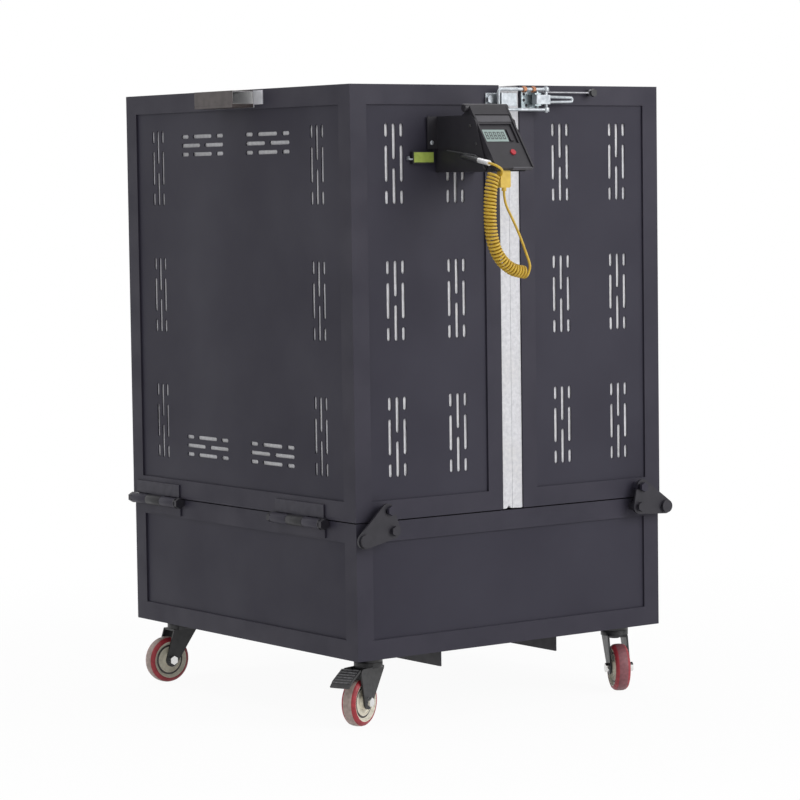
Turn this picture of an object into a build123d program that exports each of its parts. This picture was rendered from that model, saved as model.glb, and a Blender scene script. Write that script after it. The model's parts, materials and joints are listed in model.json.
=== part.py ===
from build123d import *
import math
import os

# Cabinet, all sizes in millimetres
body_width = 600.0
body_depth = 630.0
hood_height = 651.0
base_height = 207.0
hood_gap = 2.0
base_inset = 2.0
seam_gap = 40.0
angle_leg = 30.0
seam_leg = 28.0
angle_wall = 3.0
sheet = 1.5
hidden_gap = 0.3

# Fibre lining, flue and floor
lining = 50.0
half_joint = 0.5
seam_strip_recess = 2.0
flue_size = 120.0
floor_thickness = 64.0
floor_rise = 2.0
floor_edge_gap = 1.0
port_size = 70.0
burner_spacing = 232.0
post_size = 40.0
post_height = 60.0
post_spacing_x = 260.0
post_spacing_y = 280.0
shelf_width = 380.0
shelf_depth = 400.0
shelf_thickness = 12.0
shelf_corner = 25.0

# Vent slots, in groups of three columns
slot_width = 6.0
slot_pitch = 14.0
slot_gap = 13.0
short_slot = 20.0
long_slot = 54.0
middle_slot = 53.5
vent_near_seam = 103.0
vent_near_side = 82.0
vent_foot = 124.0
vent_head = 118.0
side_vent_inset = 91.0
turned_vents_y = (-92.0, 92.0)
turned_vent_foot = 88.0
turned_vent_head = 83.0

# Hood hinges on each side
hinge_radius = 8.0
hinge_pin_radius = 5.0
running_gap = 0.05
hinge_length = 129.0
hinge_front_inset = 144.5
hinge_rear_inset = 78.5
knuckle_gap = 0.6
hinge_drop = 5.0
hinge_tuck = 1.0
leaf_thickness = 2.5
hood_leaf_top = 22.0
base_leaf_drop = 27.0
leaf_clear = 1.0
bolt_flats = 15.0
bolt_head = 8.0
bolt_thread = 3.0
bolt_gap = 0.1
washer_radius = 8.6
washer_thickness = 2.0

# Swing catches at the front corners
catch_pivot_inset = 57.5
catch_pivot_drop = 12.0
catch_stud_rise = 17.0
catch_stud_out = 6.5
catch_lobe = 12.0
catch_arm = 54.5
catch_arm_drop = 3.0
catch_thickness = 4.0
catch_standoff = 14.0
catch_stud_radius = 3.5
catch_slot_gap = 0.4
catch_slot_angle = 34.0
catch_spacer_radius = 7.0
catch_head = 6.0
catch_head_flats = 13.0
stud_end_gap = 0.5
pivot_end_gap = 0.4
pivot_back_gap = 0.2
catch_knob_radius = 10.0
catch_knob_height = 5.0
left_catch_rest = 9.0

# Bar sockets that serve as handles, near the top of each side
handle_length = 107.0
handle_reach = 40.0
handle_height = 21.5
handle_wall = 1.5
handle_drop = 2.0
handle_start = -63.0
handle_plate_margin = 25.0
handle_plate = 2.0
handle_flange = 4.5
handle_edge = 1.0

# Toggle latch over the top of the front seam
latch_level = 22.0
latch_plate = 3.0
latch_plate_start = 22.0
latch_plate_end = 48.0
latch_plate_margin = 4.0
latch_pivot_x = 44.0
latch_pivot_out = 14.0
latch_throw = 16.0
latch_loop_out = 16.0
latch_ear_spread = 19.0
latch_ear = 2.0
latch_ear_back = 8.0
latch_ear_front = 5.0
latch_pin_radius = 2.5
latch_pin_end = 3.0
latch_rod_radius = 2.5
latch_rod_gap = 0.5
latch_bend = 6.0
latch_eye_radius = 5.0
latch_eye_length = 6.0
latch_eye_overlap = 3.0
lever_side_gap = 0.4
lever_head_end = 5.5
lever_head_front = 6.0
lever_head_back = 5.0
lever_pin_end = 1.5
latch_handle_radius = 2.2
latch_handle_bend = 2.8
latch_handle_root = 2.0
latch_handle_tip = 112.0
latch_handle_spread = 8.0
latch_handle_taper = 1.0
loop_end_x = -33.0
keeper_start = -47.0
keeper_end_inset = 2.0
keeper_width = 20.0
keeper_sheet = 2.0
keeper_out = 11.0
keeper_reach = 37.0
keeper_lip = 3.0
keeper_lip_out = 20.0
keeper_gap = 0.3
keeper_nut_inset = 6.0
keeper_nut = 6.0
small_nut_flats = 11.0
stay_pivot_x = 158.0
stay_length = 118.0
stay_radius = 1.5
stay_gap = 0.1
stay_out = 7.8
stay_bolt_radius = 3.0
stay_spacer_radius = 5.0
stay_eye_radius = 5.5
stay_spacer_end = 5.0
stay_eye_start = 5.6
stay_eye_end = 10.0
stay_head_start = 10.4
stay_head_end = 15.0
stay_wire_root = 4.0

# Casters
caster_rise = 29.0
caster_inset_x = 55.0
caster_inset_y = 50.0
wheel_radius = 37.5
wheel_width = 25.0
tread_thickness = 9.5
hub_dish = 5.0
boss_radius = 11.0
axle_radius = 4.0
axle_end = 2.0
axle_nut = 6.0
axle_nut_gap = 0.1
axle_nut_flats = 13.0
caster_trail = 28.0
caster_plate = 60.0
plate_thickness = 3.0
race_radius = 22.0
race_height = 6.5
race_root = 1.0
race_gap = 0.5
fork_wall = 3.0
fork_side_gap = 1.2
fork_eye_radius = 11.0
fork_crown_depth = 7.0
fork_crown_length = 42.0
fork_crown_shift = 2.0
fork_crown_edge = 4.0
fork_ear_radius = 6.0
fork_head_gap = 0.4
kingpin_radius = 5.0
kingpin_head = 3.0
kingpin_rim = 3.0
pedal_forward = 14.0
pedal_lift = 8.5
pedal_width = 33.0
pedal_plate = ((9.0, 6.0), (36.0, -8.0), (44.0, -16.0), (42.0, -18.0), (34.0, -11.0), (8.0, 3.0))
pedal_arm = ((0.0, 3.4), (10.0, 6.0), (10.0, 2.0), (0.0, -2.0))
pedal_side_gap = 0.4
pedal_pin_radius = 3.5
pedal_shoe = 9.8
pedal_shoe_thickness = 4.0
pedal_shoe_shift = 0.5
pedal_shoe_inset = 4.0
caster_turns = {"front_left": 203.6, "rear_left": 180.0, "front_right": 243.2, "rear_right": 150.0}
braked_casters = ("front_left", "rear_right")

# Bars under the base
cross_bar_width = 60.0
bearer_spacing = 232.0
bearer_setback = 40.0

# Burners and gas train
burner_throat = 12.0
burner_wall = 3.0
burner_bell = 22.0
burner_bell_height = 18.0
burner_head = 30.0
burner_flange = 40.0
burner_flange_thickness = 4.0
head_flare_start = 34.0
head_flare_end = 16.0
pipe_radius = 7.0
pipe_rise = 42.0
pipe_end = 12.0
pipe_rear = 6.0
pipe_hole_gap = 1.0
jet_flats = 14.0
jet_length = 14.0
jet_seat = 1.0
jet_in_bell = 6.0
jet_bore = 1.5
valve_flats = 26.0
valve_length = 32.0
valve_boss_radius = 8.0
valve_boss_root = 3.0
valve_boss_rise = 6.0
stem_radius = 3.5
stem_rise = 12.0
gas_lever_lift = 0.5
gas_lever_length = 78.0
gas_lever_width = 16.0
gas_lever_thickness = 3.0
gas_lever_centre = 31.0
flame_valve_width = 34.0
flame_valve_height = 36.0
flame_valve_corner = 6.0
flame_valve_length = 32.0
flame_valve_drop = 4.0
button_seat_radius = 10.0
button_seat_root = 15.0
button_seat_floor = 13.0
button_seat_end = 23.0
flame_button_radius = 7.0
flame_button_end = 30.0
flame_button_stroke = 4.0
press_gap = 0.5
inlet_collar = 6.0
inlet_flats = 19.0
inlet_bore = 3.0
inlet_radius = 6.5
inlet_length = 14.0

# Thermometer, its tray and the probe
meter_left = -140.0
meter_width = 75.0
meter_out = 141.0
meter_drop = 127.0
meter_face_length = 111.0
meter_lean = 34.7
meter_thickness = 28.0
meter_heel = 3.5
meter_foot = 5.0
bracket_drop = 48.0
bracket_flange = 18.0
bracket_low = 35.0
cheek_top = ((83.0, 0.0), (95.0, -8.0))
cheek_foot = ((121.0, 6.0), (115.0, 1.5))
tray_sheet = 1.5
tray_edge = ((28.0, 33.0), (95.0, 25.0), (113.0, 15.0), (119.0, 0.0))
tray_lip_back = 33.0
tray_floor_out = 101.0
ridge_width = 3.0
ridge_height = 2.0
top_bar_radius = 6.0
top_bar_overhang = 5.0
top_bar_rise = 2.0
window_width = 56.0
window_height = 29.0
window_x = 35.5
window_y = 75.0
window_recess = 2.0
window_thickness = 1.0
button_x = 46.5
button_y = 28.0
button_radius = 4.5
button_gap = 0.3
button_floor = 6.2
button_proud = 2.0
button_rest = 0.4
button_stroke = 1.5
probe_radius = 4.0
probe_side = 11.0
probe_rise = 24.0
probe_depth = 30.0
probe_bend = 30.0
probe_bend_out = 38.0
grommet_side = 1.0
grommet_out = 70.0
grommet_drop = 1.0
sleeve_side = 7.0
sleeve_out = 136.0
sleeve_rise = 12.5

# Curly cord from the probe to its plug under the meter
cord_diameter = 3.8
coil_outer = 19.5
coil_turns = 35.75
cord_sides = 4
coil_plane_y = -453.0
coil_axis_xz = (
    (-139.7, 829.0),
    (-145.5, 813.0),
    (-148.0, 786.0),
    (-148.2, 757.0),
    (-144.0, 728.0),
    (-132.0, 704.5),
    (-113.5, 690.0),
    (-99.0, 684.5),
    (-83.0, 682.5),
)
sleeve_run = 8.0
probe_lead_turns = ((-142.0, -465.5, 839.5), (-134.5, -466.5, 834.5))
coil_entry = 7.0
coil_exit = 10.0
plug_lead_turns = ((-86.5, -459.5, 712.0), (-94.5, -457.0, 735.0), (-104.5, -450.5, 763.0))
plug_entry = 16.0
plug_side = 26.5
plug_out = 128.0
plug_drop = 30.5
plug_width = 19.0
plug_thickness = 9.0
plug_corner = 3.0
plug_neck = 5.0
plug_neck_radius = 3.6
blade_spread = 3.95
blade_width = 2.8
blade_thickness = 1.0
blade_length = 8.0
blade_root = 4.0
blade_gap = 0.1

# Levels and faces worked out from the sizes above
half_width = body_width / 2
half_depth = body_depth / 2
base_half_width = half_width - base_inset
base_half_depth = half_depth - base_inset
caster_height = 2 * wheel_radius + caster_rise
base_bottom = caster_height
base_top = base_bottom + base_height
hood_bottom = base_top + hood_gap
hood_top = hood_bottom + hood_height
seam_edge = seam_gap / 2
vent_columns_front = (vent_near_seam, half_width - vent_near_side)
vent_columns_side = (side_vent_inset - half_depth, half_depth - side_vent_inset)
vent_middle = (hood_bottom + vent_foot + hood_top - vent_head) / 2
vent_rows = (hood_bottom + vent_foot, vent_middle, hood_top - vent_head)
turned_vents_z = (hood_bottom + turned_vent_foot, hood_top - turned_vent_head)
hinge_x = -half_width - hinge_radius + hinge_tuck
hinge_z = base_top - hinge_drop
hinge_centres = (hinge_front_inset - half_depth, half_depth - hinge_rear_inset)
floor_top = base_top + floor_rise
floor_bottom = floor_top - floor_thickness
chamber_half_width = half_width - angle_wall - sheet - lining
chamber_half_depth = half_depth - angle_wall - sheet - lining
latch_z = hood_top - latch_level
latch_rod_spread = latch_ear_spread + 2 * (latch_pin_end + latch_rod_radius + latch_rod_gap)
stay_level = latch_z + latch_ear_spread / 2 + stay_radius + stay_gap
catch_pivot_x = half_width - catch_pivot_inset
catch_pivot_z = base_top - catch_pivot_drop
catch_stud_x = catch_pivot_x + catch_stud_out
catch_stud_z = hood_bottom + catch_stud_rise
pipe_level = base_bottom + pipe_rise
valve_start = half_depth + pipe_rear
flame_valve_start = valve_start + valve_length
flame_level = pipe_level - flame_valve_drop
fork_crown_top = caster_height - plate_thickness - race_height
pedal_x = caster_trail + pedal_forward
pedal_z = 2 * wheel_radius + pedal_lift
meter_right = meter_left + meter_width
meter_face_bottom_y = -half_depth - meter_out
meter_face_bottom_z = hood_top - meter_drop
meter_bottom_z = meter_face_bottom_z - meter_heel
tray_bottom_z = meter_bottom_z - tray_sheet
bracket_top_z = hood_top - bracket_drop
probe_x = meter_left + probe_side
probe_z = tray_bottom_z + probe_rise
grommet = (meter_left - grommet_side, -half_depth - grommet_out, probe_z - grommet_drop)
sleeve_end = (meter_left - sleeve_side, -half_depth - sleeve_out, tray_bottom_z + sleeve_rise)
plug_x = meter_left + plug_side
plug_y = -half_depth - plug_out
plug_bottom_z = meter_bottom_z - plug_drop

os.makedirs("parts", exist_ok=True)


def box(low, high):
    """A block from its lowest to its highest corner."""
    size = Vector(high) - Vector(low)
    middle = (Vector(high) + Vector(low)) * 0.5
    return Pos(middle) * Box(size.X, size.Y, size.Z)


def rod(start, end, radius):
    """A round bar between two points."""
    axis = Vector(end) - Vector(start)
    return extrude(Plane(origin=start, z_dir=axis) * Circle(radius), axis.length)


def hexagon(start, end, flats):
    """A hexagonal bar between two points, measured across its flats."""
    axis = Vector(end) - Vector(start)
    outline = RegularPolygon(flats / 2, 6, major_radius=False)
    return extrude(Plane(origin=start, z_dir=axis) * outline, axis.length)


def turned(profile):
    """A piece turned about the Z axis from radius and height pairs."""
    return revolve(Plane.XZ * Polygon(*profile, align=None), Axis.Z)


def plan_block(outline, low, height):
    """A block from a plan outline."""
    return Pos(0, 0, low) * extrude(Polygon(*outline, align=None), height, dir=(0, 0, 1))


def side_block(outline, left, width):
    """A block from a side outline of Y and Z pairs, running along X."""
    plane = Plane(origin=(left, 0, 0), x_dir=(0, 1, 0), z_dir=(1, 0, 0))
    return extrude(plane * Polygon(*outline, align=None), width, dir=(1, 0, 0))


def swap_side(shapes):
    """The same pieces on the right-hand half."""
    return [mirror(shape, about=Plane.YZ) for shape in shapes]


def save(name, shapes):
    """Write one node from its separate solids."""
    solids = [solid for shape in shapes for solid in shape.solids()]
    export_step(Compound(solids), f"parts/{name}.step")


def strip(start, end, inward, width, mitres):
    """Plan outline of a strip inside the line from start to end, mitred where a flag is 1."""
    along = (end - start).normalized()
    near = start + inward * width + along * width * mitres[0]
    far = end + inward * width - along * width * mitres[1]
    return [(p.X, p.Y) for p in (start, end, far, near)]


def rail(start, end, inward, mitres, face_low, flat_low):
    """A level angle iron with one leg upright in the face and one leg flat."""
    start = Vector(*start)
    end = Vector(*end)
    inward = Vector(*inward)
    upright = plan_block(strip(start, end, inward, angle_wall, mitres), face_low, angle_leg)
    flat = plan_block(strip(start, end, inward, angle_leg, mitres), flat_low, angle_wall)
    return upright + flat


def corner_post(x, y, turn_x, turn_y, leg_x, leg_y, low, high):
    """An upright angle iron with its corner at x, y and its legs turned inwards."""
    across = box(
        (min(x, x + turn_x * leg_x), min(y, y + turn_y * angle_wall), low),
        (max(x, x + turn_x * leg_x), max(y, y + turn_y * angle_wall), high),
    )
    along = box(
        (min(x, x + turn_x * angle_wall), min(y, y + turn_y * leg_y), low),
        (max(x, x + turn_x * angle_wall), max(y, y + turn_y * leg_y), high),
    )
    return across + along


def vent_group(plane, turned_sideways=False):
    """Cutters for one group of vent slots, three columns wide."""
    cutters = []
    short_centre = long_slot / 2 + slot_gap + short_slot / 2
    middle_centre = (slot_gap + middle_slot) / 2
    columns = [(0.0, middle_centre, middle_slot), (0.0, -middle_centre, middle_slot)]
    for side in (-slot_pitch, slot_pitch):
        columns.append((side, 0.0, long_slot))
        columns.append((side, short_centre, short_slot))
        columns.append((side, -short_centre, short_slot))
    for across, along, length in columns:
        depth = sheet * 4
        if turned_sideways:
            cutters.append(plane * Pos(along, across, 0) * Box(length, slot_width, depth))
        else:
            cutters.append(plane * Pos(across, along, 0) * Box(slot_width, length, depth))
    return cutters


def probe_path():
    """Centre line of the probe: sleeve, bend in the tray, then straight into the chamber."""
    tip = (probe_x, -chamber_half_depth + probe_depth, probe_z)
    bend = (probe_x, -half_depth - probe_bend_out, probe_z)
    return FilletPolyline(sleeve_end, grommet, bend, tip, radius=[probe_bend, probe_bend])


def probe_hole(radius):
    """Cutter for the straight part of the probe."""
    start = (probe_x, -half_depth, probe_z)
    return rod(start, (probe_x, -chamber_half_depth + probe_depth, probe_z), radius)


def base_frame():
    """Angle irons of the base: two mitred rings and four posts."""
    bars = []
    corners = [
        (-base_half_width, -base_half_depth),
        (base_half_width, -base_half_depth),
        (base_half_width, base_half_depth),
        (-base_half_width, base_half_depth),
    ]
    inwards = [(0, 1), (-1, 0), (0, -1), (1, 0)]
    low_levels = (base_bottom, base_bottom)
    high_levels = (base_top - angle_leg, base_top - angle_wall)
    for face_low, flat_low in (low_levels, high_levels):
        for index, inward in enumerate(inwards):
            start = corners[index]
            end = corners[(index + 1) % 4]
            bars.append(rail(start, end, inward, (1, 1), face_low, flat_low))
    for x, y in corners:
        turn_x = -math.copysign(1, x)
        turn_y = -math.copysign(1, y)
        low = base_bottom + angle_leg
        high = base_top - angle_leg
        bars.append(corner_post(x, y, turn_x, turn_y, angle_leg, angle_leg, low, high))
    return bars


def base_panels():
    """Four plain sheets behind the angle irons, the rear one with a hole for the gas pipe."""
    low = base_bottom + angle_wall
    high = base_top - angle_wall
    outer_x = base_half_width - angle_wall
    outer_y = base_half_depth - angle_wall
    front = box((-outer_x, -outer_y, low), (outer_x, -outer_y + sheet, high))
    rear = box((-outer_x, outer_y - sheet, low), (outer_x, outer_y, high))
    hole = (0, outer_y - 2 * sheet, pipe_level), (0, outer_y + sheet, pipe_level)
    rear -= rod(*hole, pipe_radius + pipe_hole_gap)
    left = box((-outer_x, -outer_y + sheet, low), (-outer_x + sheet, outer_y - sheet, high))
    return [front, rear, left] + swap_side([left])


def floor_plate():
    """Sheet that carries the floor boards, with two square burner ports."""
    x = base_half_width - angle_wall - sheet
    y = base_half_depth - angle_wall - sheet
    plate = box((-x, -y, floor_bottom - sheet), (x, y, floor_bottom))
    port = port_size / 2
    for centre in (-burner_spacing / 2, burner_spacing / 2):
        plate -= Pos(centre, 0, floor_bottom) * Box(2 * port, 2 * port, sheet * 4)
    return [plate]


def floor_boards():
    """Fibre boards of the floor, laid around the two burner ports."""
    x = base_half_width - angle_leg - floor_edge_gap
    y = base_half_depth - angle_leg - floor_edge_gap
    port = port_size / 2
    near = burner_spacing / 2 - port
    far = burner_spacing / 2 + port
    outer = box((-x, -y, floor_bottom), (-far, y, floor_top))
    front = box((-far, -y, floor_bottom), (-near, -port, floor_top))
    rear = box((-far, port, floor_bottom), (-near, y, floor_top))
    middle = box((-near, -y, floor_bottom), (near, y, floor_top))
    return [outer, front, rear, middle] + swap_side([outer, front, rear])


def kiln_posts():
    """Four square posts that carry the shelf."""
    posts = []
    for x in (-post_spacing_x / 2, post_spacing_x / 2):
        for y in (-post_spacing_y / 2, post_spacing_y / 2):
            low = (x - post_size / 2, y - post_size / 2, floor_top)
            high = (x + post_size / 2, y + post_size / 2, floor_top + post_height)
            posts.append(box(low, high))
    return posts


def kiln_shelf():
    """The ware shelf, a slab with cut corners."""
    level = floor_top + post_height
    outline = Rectangle(shelf_width, shelf_depth)
    outline = chamfer(outline.vertices(), shelf_corner)
    return [Pos(0, 0, level) * extrude(outline, shelf_thickness)]


def cross_bars():
    """Flat bars between the side rails, over the caster plates."""
    x = base_half_width - angle_leg
    front = -base_half_depth + angle_leg
    bar = box((-x, front, base_bottom), (x, front + cross_bar_width, base_bottom + angle_wall))
    return [bar, mirror(bar, about=Plane.XZ)]


def bearers():
    """Two angle irons welded under the base from front to rear."""
    x = bearer_spacing / 2
    y = half_depth - bearer_setback
    flat = box((-x, -y, base_bottom - angle_wall), (-x + angle_leg, y, base_bottom))
    upright = box((-x, -y, base_bottom - angle_leg), (-x + angle_wall, y, base_bottom))
    return [flat + upright] + swap_side([flat + upright])


def burner_tubes():
    """Two upright burners: open air bell, throat, flared head and flange."""
    low = pipe_level + pipe_radius + jet_length - jet_in_bell
    high = floor_bottom - sheet
    inside = burner_throat
    outside = burner_throat + burner_wall
    flange_low = high - burner_flange_thickness
    profile = [
        (burner_bell, low),
        (burner_bell + burner_wall, low),
        (outside, low + burner_bell_height),
        (outside, high - head_flare_start),
        (burner_head, high - head_flare_end),
        (burner_head, flange_low),
        (burner_flange, flange_low),
        (burner_flange, high),
        (burner_head - burner_wall, high),
        (burner_head - burner_wall, high - head_flare_end + 1),
        (inside, high - head_flare_start + 1),
        (inside, low + burner_bell_height + 1),
    ]
    burner = turned(profile)
    return [Pos(x, 0, 0) * burner for x in (-burner_spacing / 2, burner_spacing / 2)]


def gas_manifold():
    """Pipe tee under the burners with a brass jet at each end."""
    reach = burner_spacing / 2
    end = reach + pipe_end
    along = rod((-end, 0, pipe_level), (end, 0, pipe_level), pipe_radius)
    pipe = along + rod((0, 0, pipe_level), (0, half_depth + pipe_rear, pipe_level), pipe_radius)
    low = pipe_level + pipe_radius - jet_seat
    high = low + jet_length
    jets = []
    for x in (-reach, reach):
        jet = hexagon((x, 0, low), (x, 0, high), jet_flats) - pipe
        jets.append(jet - rod((x, 0, low), (x, 0, high), jet_bore))
    return [pipe] + jets


def gas_valve_body():
    """Ball valve body on the feed pipe behind the base."""
    end = valve_start + valve_length
    middle = valve_start + valve_length / 2
    body = hexagon((0, valve_start, pipe_level), (0, end, pipe_level), valve_flats)
    top = pipe_level + valve_flats / 2
    boss_top = top + valve_boss_rise
    body += rod((0, middle, top - valve_boss_root), (0, middle, boss_top), valve_boss_radius)
    return [body + rod((0, middle, boss_top), (0, middle, top + stem_rise), stem_radius)]


def gas_valve_lever():
    """Flat lever on the valve stem, lying across the pipe when shut."""
    middle = valve_start + valve_length / 2
    low = pipe_level + valve_flats / 2 + valve_boss_rise + gas_lever_lift
    high = low + gas_lever_thickness
    outline = SlotOverall(gas_lever_length, gas_lever_width)
    lever = Pos(gas_lever_centre, middle, low) * extrude(outline, gas_lever_thickness)
    return [lever - rod((0, middle, low), (0, middle, high), stem_radius + running_gap)]


def flame_valve():
    """Flame failure valve body behind the ball valve, with the seat of its side button."""
    middle = flame_valve_start + flame_valve_length / 2
    outline = RectangleRounded(flame_valve_width, flame_valve_height, flame_valve_corner)
    origin = (0, flame_valve_start, flame_level)
    plane = Plane(origin=origin, x_dir=(1, 0, 0), z_dir=(0, -1, 0))
    body = extrude(plane * outline, -flame_valve_length)
    end = (button_seat_end, middle, flame_level)
    body += rod((button_seat_root, middle, flame_level), end, button_seat_radius)
    bore_radius = flame_button_radius + running_gap
    return [body - rod((button_seat_floor, middle, flame_level), end, bore_radius)]


def flame_valve_button():
    """Button that is held down to light the burners."""
    middle = flame_valve_start + flame_valve_length / 2
    start = button_seat_floor + flame_button_stroke + press_gap
    ends = (start, middle, flame_level), (flame_button_end, middle, flame_level)
    return [rod(*ends, flame_button_radius)]


def gas_inlet():
    """Threaded stub that takes the hose nut."""
    start = flame_valve_start + flame_valve_length
    collar_end = start + inlet_collar
    end = collar_end + inlet_length
    stub = hexagon((0, start, pipe_level), (0, collar_end, pipe_level), inlet_flats)
    stub += rod((0, collar_end, pipe_level), (0, end, pipe_level), inlet_radius)
    return [stub - rod((0, start, pipe_level), (0, end, pipe_level), inlet_bore)]


def hood_frame():
    """Angle irons of the left half hood, with the turned stud for its catch."""
    left = -half_width
    seam = -seam_edge
    front = -half_depth
    bars = []
    low = (hood_bottom, hood_bottom)
    high = (hood_top - angle_leg, hood_top - angle_wall)
    for face_low, flat_low in (low, high):
        bars.append(rail((left, front), (seam, front), (0, 1), (1, 0), face_low, flat_low))
        bars.append(rail((left, -front), (left, front), (1, 0), (1, 1), face_low, flat_low))
        bars.append(rail((seam, -front), (left, -front), (0, -1), (0, 1), face_low, flat_low))
    post_low = hood_bottom + angle_leg
    post_high = hood_top - angle_leg
    for y, turn in ((front, 1), (-front, -1)):
        bars.append(corner_post(left, y, 1, turn, angle_leg, angle_leg, post_low, post_high))
        bars.append(corner_post(seam, y, -1, turn, seam_leg, angle_leg, post_low, post_high))
        bars.append(roof_seam_rail(y, turn))
    return bars + [catch_stud()]


def roof_seam_rail(y, turn):
    """Angle iron beside the roof seam, from the end rail to the flue."""
    start = y + turn * angle_leg
    end = -turn * flue_size / 2
    flat = box(
        (-seam_edge - seam_leg, min(start, end), hood_top - angle_wall),
        (-seam_edge, max(start, end), hood_top),
    )
    upright = box(
        (-seam_edge - angle_wall, min(start, end), hood_top - angle_leg),
        (-seam_edge, max(start, end), hood_top),
    )
    return flat + upright


def catch_stud():
    """Shouldered stud on the hood rail that the left catch hooks round."""
    x = -catch_stud_x
    z = catch_stud_z
    face = -half_depth
    plate_back = face - catch_standoff
    plate_front = plate_back - catch_thickness
    head_end = plate_front - catch_head
    spacer = rod((x, face, z), (x, plate_back + stud_end_gap, z), catch_spacer_radius)
    shank = rod((x, face, z), (x, head_end, z), catch_stud_radius)
    head = hexagon((x, plate_front - stud_end_gap, z), (x, head_end, z), catch_head_flats)
    return spacer + shank + head


def hood_end_panels():
    """Slotted front and rear sheets of the left half hood."""
    low = hood_bottom + angle_wall
    high = hood_top - angle_wall
    outer_x = -half_width + angle_wall
    inner_x = -seam_edge - angle_wall
    outer_y = half_depth - angle_wall
    front = box((outer_x, -outer_y, low), (inner_x, -outer_y + sheet, high))
    cutters = []
    for x in vent_columns_front:
        for z in vent_rows:
            plane = Plane(origin=(-x, -outer_y, z), x_dir=(1, 0, 0), z_dir=(0, -1, 0))
            cutters += vent_group(plane)
    front = front - cutters
    return front, mirror(front, about=Plane.XZ)


def hood_side_panel():
    """Slotted side sheet of the left half hood."""
    low = hood_bottom + angle_wall
    high = hood_top - angle_wall
    outer_x = -half_width + angle_wall
    outer_y = half_depth - angle_wall - sheet
    panel = box((outer_x, -outer_y, low), (outer_x + sheet, outer_y, high))
    cutters = []
    for y in vent_columns_side:
        for z in vent_rows:
            cutters += vent_group(Plane(origin=(outer_x, y, z), x_dir=(0, 1, 0), z_dir=(-1, 0, 0)))
    for y in turned_vents_y:
        for z in turned_vents_z:
            plane = Plane(origin=(outer_x, y, z), x_dir=(0, 1, 0), z_dir=(-1, 0, 0))
            cutters += vent_group(plane, turned_sideways=True)
    return panel - cutters


def hood_roof():
    """Roof sheet of the left half hood, notched for the flue."""
    high = hood_top - angle_wall
    outer_x = -half_width + angle_wall + sheet
    inner_x = -seam_edge - angle_wall
    y = half_depth - angle_wall - sheet
    roof = box((outer_x, -y, high - sheet), (inner_x, y, high))
    return roof - Pos(0, 0, high) * Box(flue_size, flue_size, sheet * 4)


def wall_lining():
    """Fibre blocks of the left half: side, ends and the strips that fill the seam."""
    low = hood_bottom + angle_wall
    high = hood_top - angle_wall - sheet - lining
    skin_x = half_width - angle_wall - sheet
    skin_y = half_depth - angle_wall - sheet
    side = box((-skin_x, -skin_y, low), (-chamber_half_width, skin_y, high))
    leg_x = seam_edge + angle_wall + hidden_gap
    leg_y = half_depth - angle_leg - hidden_gap
    front = box((-chamber_half_width, -skin_y, low), (-leg_x, -chamber_half_depth, high))
    back_of_leg = box((-leg_x, -leg_y, low), (-half_joint, -chamber_half_depth, high))
    strip_x = seam_edge - hidden_gap
    face = half_depth - seam_strip_recess
    edge = box((-strip_x, -face, hood_bottom), (-half_joint, -leg_y, hood_top - seam_strip_recess))
    ends = [front, back_of_leg, edge]
    rears = [mirror(piece, about=Plane.XZ) for piece in (front, back_of_leg, edge)]
    return [side] + ends + rears


def roof_lining():
    """Fibre blocks of the left half roof, around the flue."""
    high = hood_top - angle_wall - sheet
    low = high - lining
    skin_x = half_width - angle_wall - sheet
    skin_y = half_depth - angle_wall - sheet
    flue = flue_size / 2
    leg_x = seam_edge + angle_wall + hidden_gap
    leg_y = half_depth - angle_leg - hidden_gap
    under_leg = hood_top - angle_leg - hidden_gap
    strip_x = seam_edge - hidden_gap
    blocks = [box((-skin_x, -skin_y, low), (-flue, skin_y, high))]
    top = hood_top - seam_strip_recess
    rears = [
        box((-flue, flue, low), (-leg_x, skin_y, high)),
        box((-leg_x, flue, low), (-half_joint, leg_y, under_leg)),
        box((-strip_x, flue, under_leg), (-half_joint, leg_y, top)),
    ]
    fronts = [mirror(piece, about=Plane.XZ) for piece in rears]
    return blocks + fronts + rears


def hood_hinge_leaves():
    """Upper leaves on the left hood rail, each with the middle knuckle."""
    knuckle = (hinge_length - 2 * knuckle_gap) / 3
    leaves = []
    for centre in hinge_centres:
        start = centre - hinge_length / 2
        x = -half_width - leaf_thickness
        plate_low = hinge_z + hinge_radius + leaf_clear / 2
        plate = box((x, start, plate_low), (-half_width, start + hinge_length, hood_bottom + hood_leaf_top))
        ends = (centre - knuckle / 2, centre + knuckle / 2)
        tab = box((x, ends[0], hinge_z), (-half_width, ends[1], plate_low))
        barrel = rod((hinge_x, ends[0], hinge_z), (hinge_x, ends[1], hinge_z), hinge_radius)
        bore_radius = hinge_pin_radius + running_gap
        bore = rod((hinge_x, ends[0], hinge_z), (hinge_x, ends[1], hinge_z), bore_radius)
        leaves.append(plate + tab + barrel - bore)
    return leaves


def base_hinge_leaves():
    """Lower leaves on the left base rail, each with two knuckles."""
    knuckle = (hinge_length - 2 * knuckle_gap) / 3
    leaves = []
    for centre in hinge_centres:
        start = centre - hinge_length / 2
        end = start + hinge_length
        x = -base_half_width - leaf_thickness
        plate_high = hinge_z - hinge_radius - leaf_clear
        leaf = box((x, start, base_top - base_leaf_drop), (-base_half_width, end, plate_high))
        bore = rod((hinge_x, start, hinge_z), (hinge_x, end, hinge_z), hinge_pin_radius + running_gap)
        for low, high in ((start, start + knuckle), (end - knuckle, end)):
            tab = box((x, low, plate_high), (-base_half_width, high, hinge_z))
            barrel = rod((hinge_x, low, hinge_z), (hinge_x, high, hinge_z), hinge_radius)
            leaf = leaf + tab + barrel
        leaves.append(leaf - bore)
    return leaves


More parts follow.
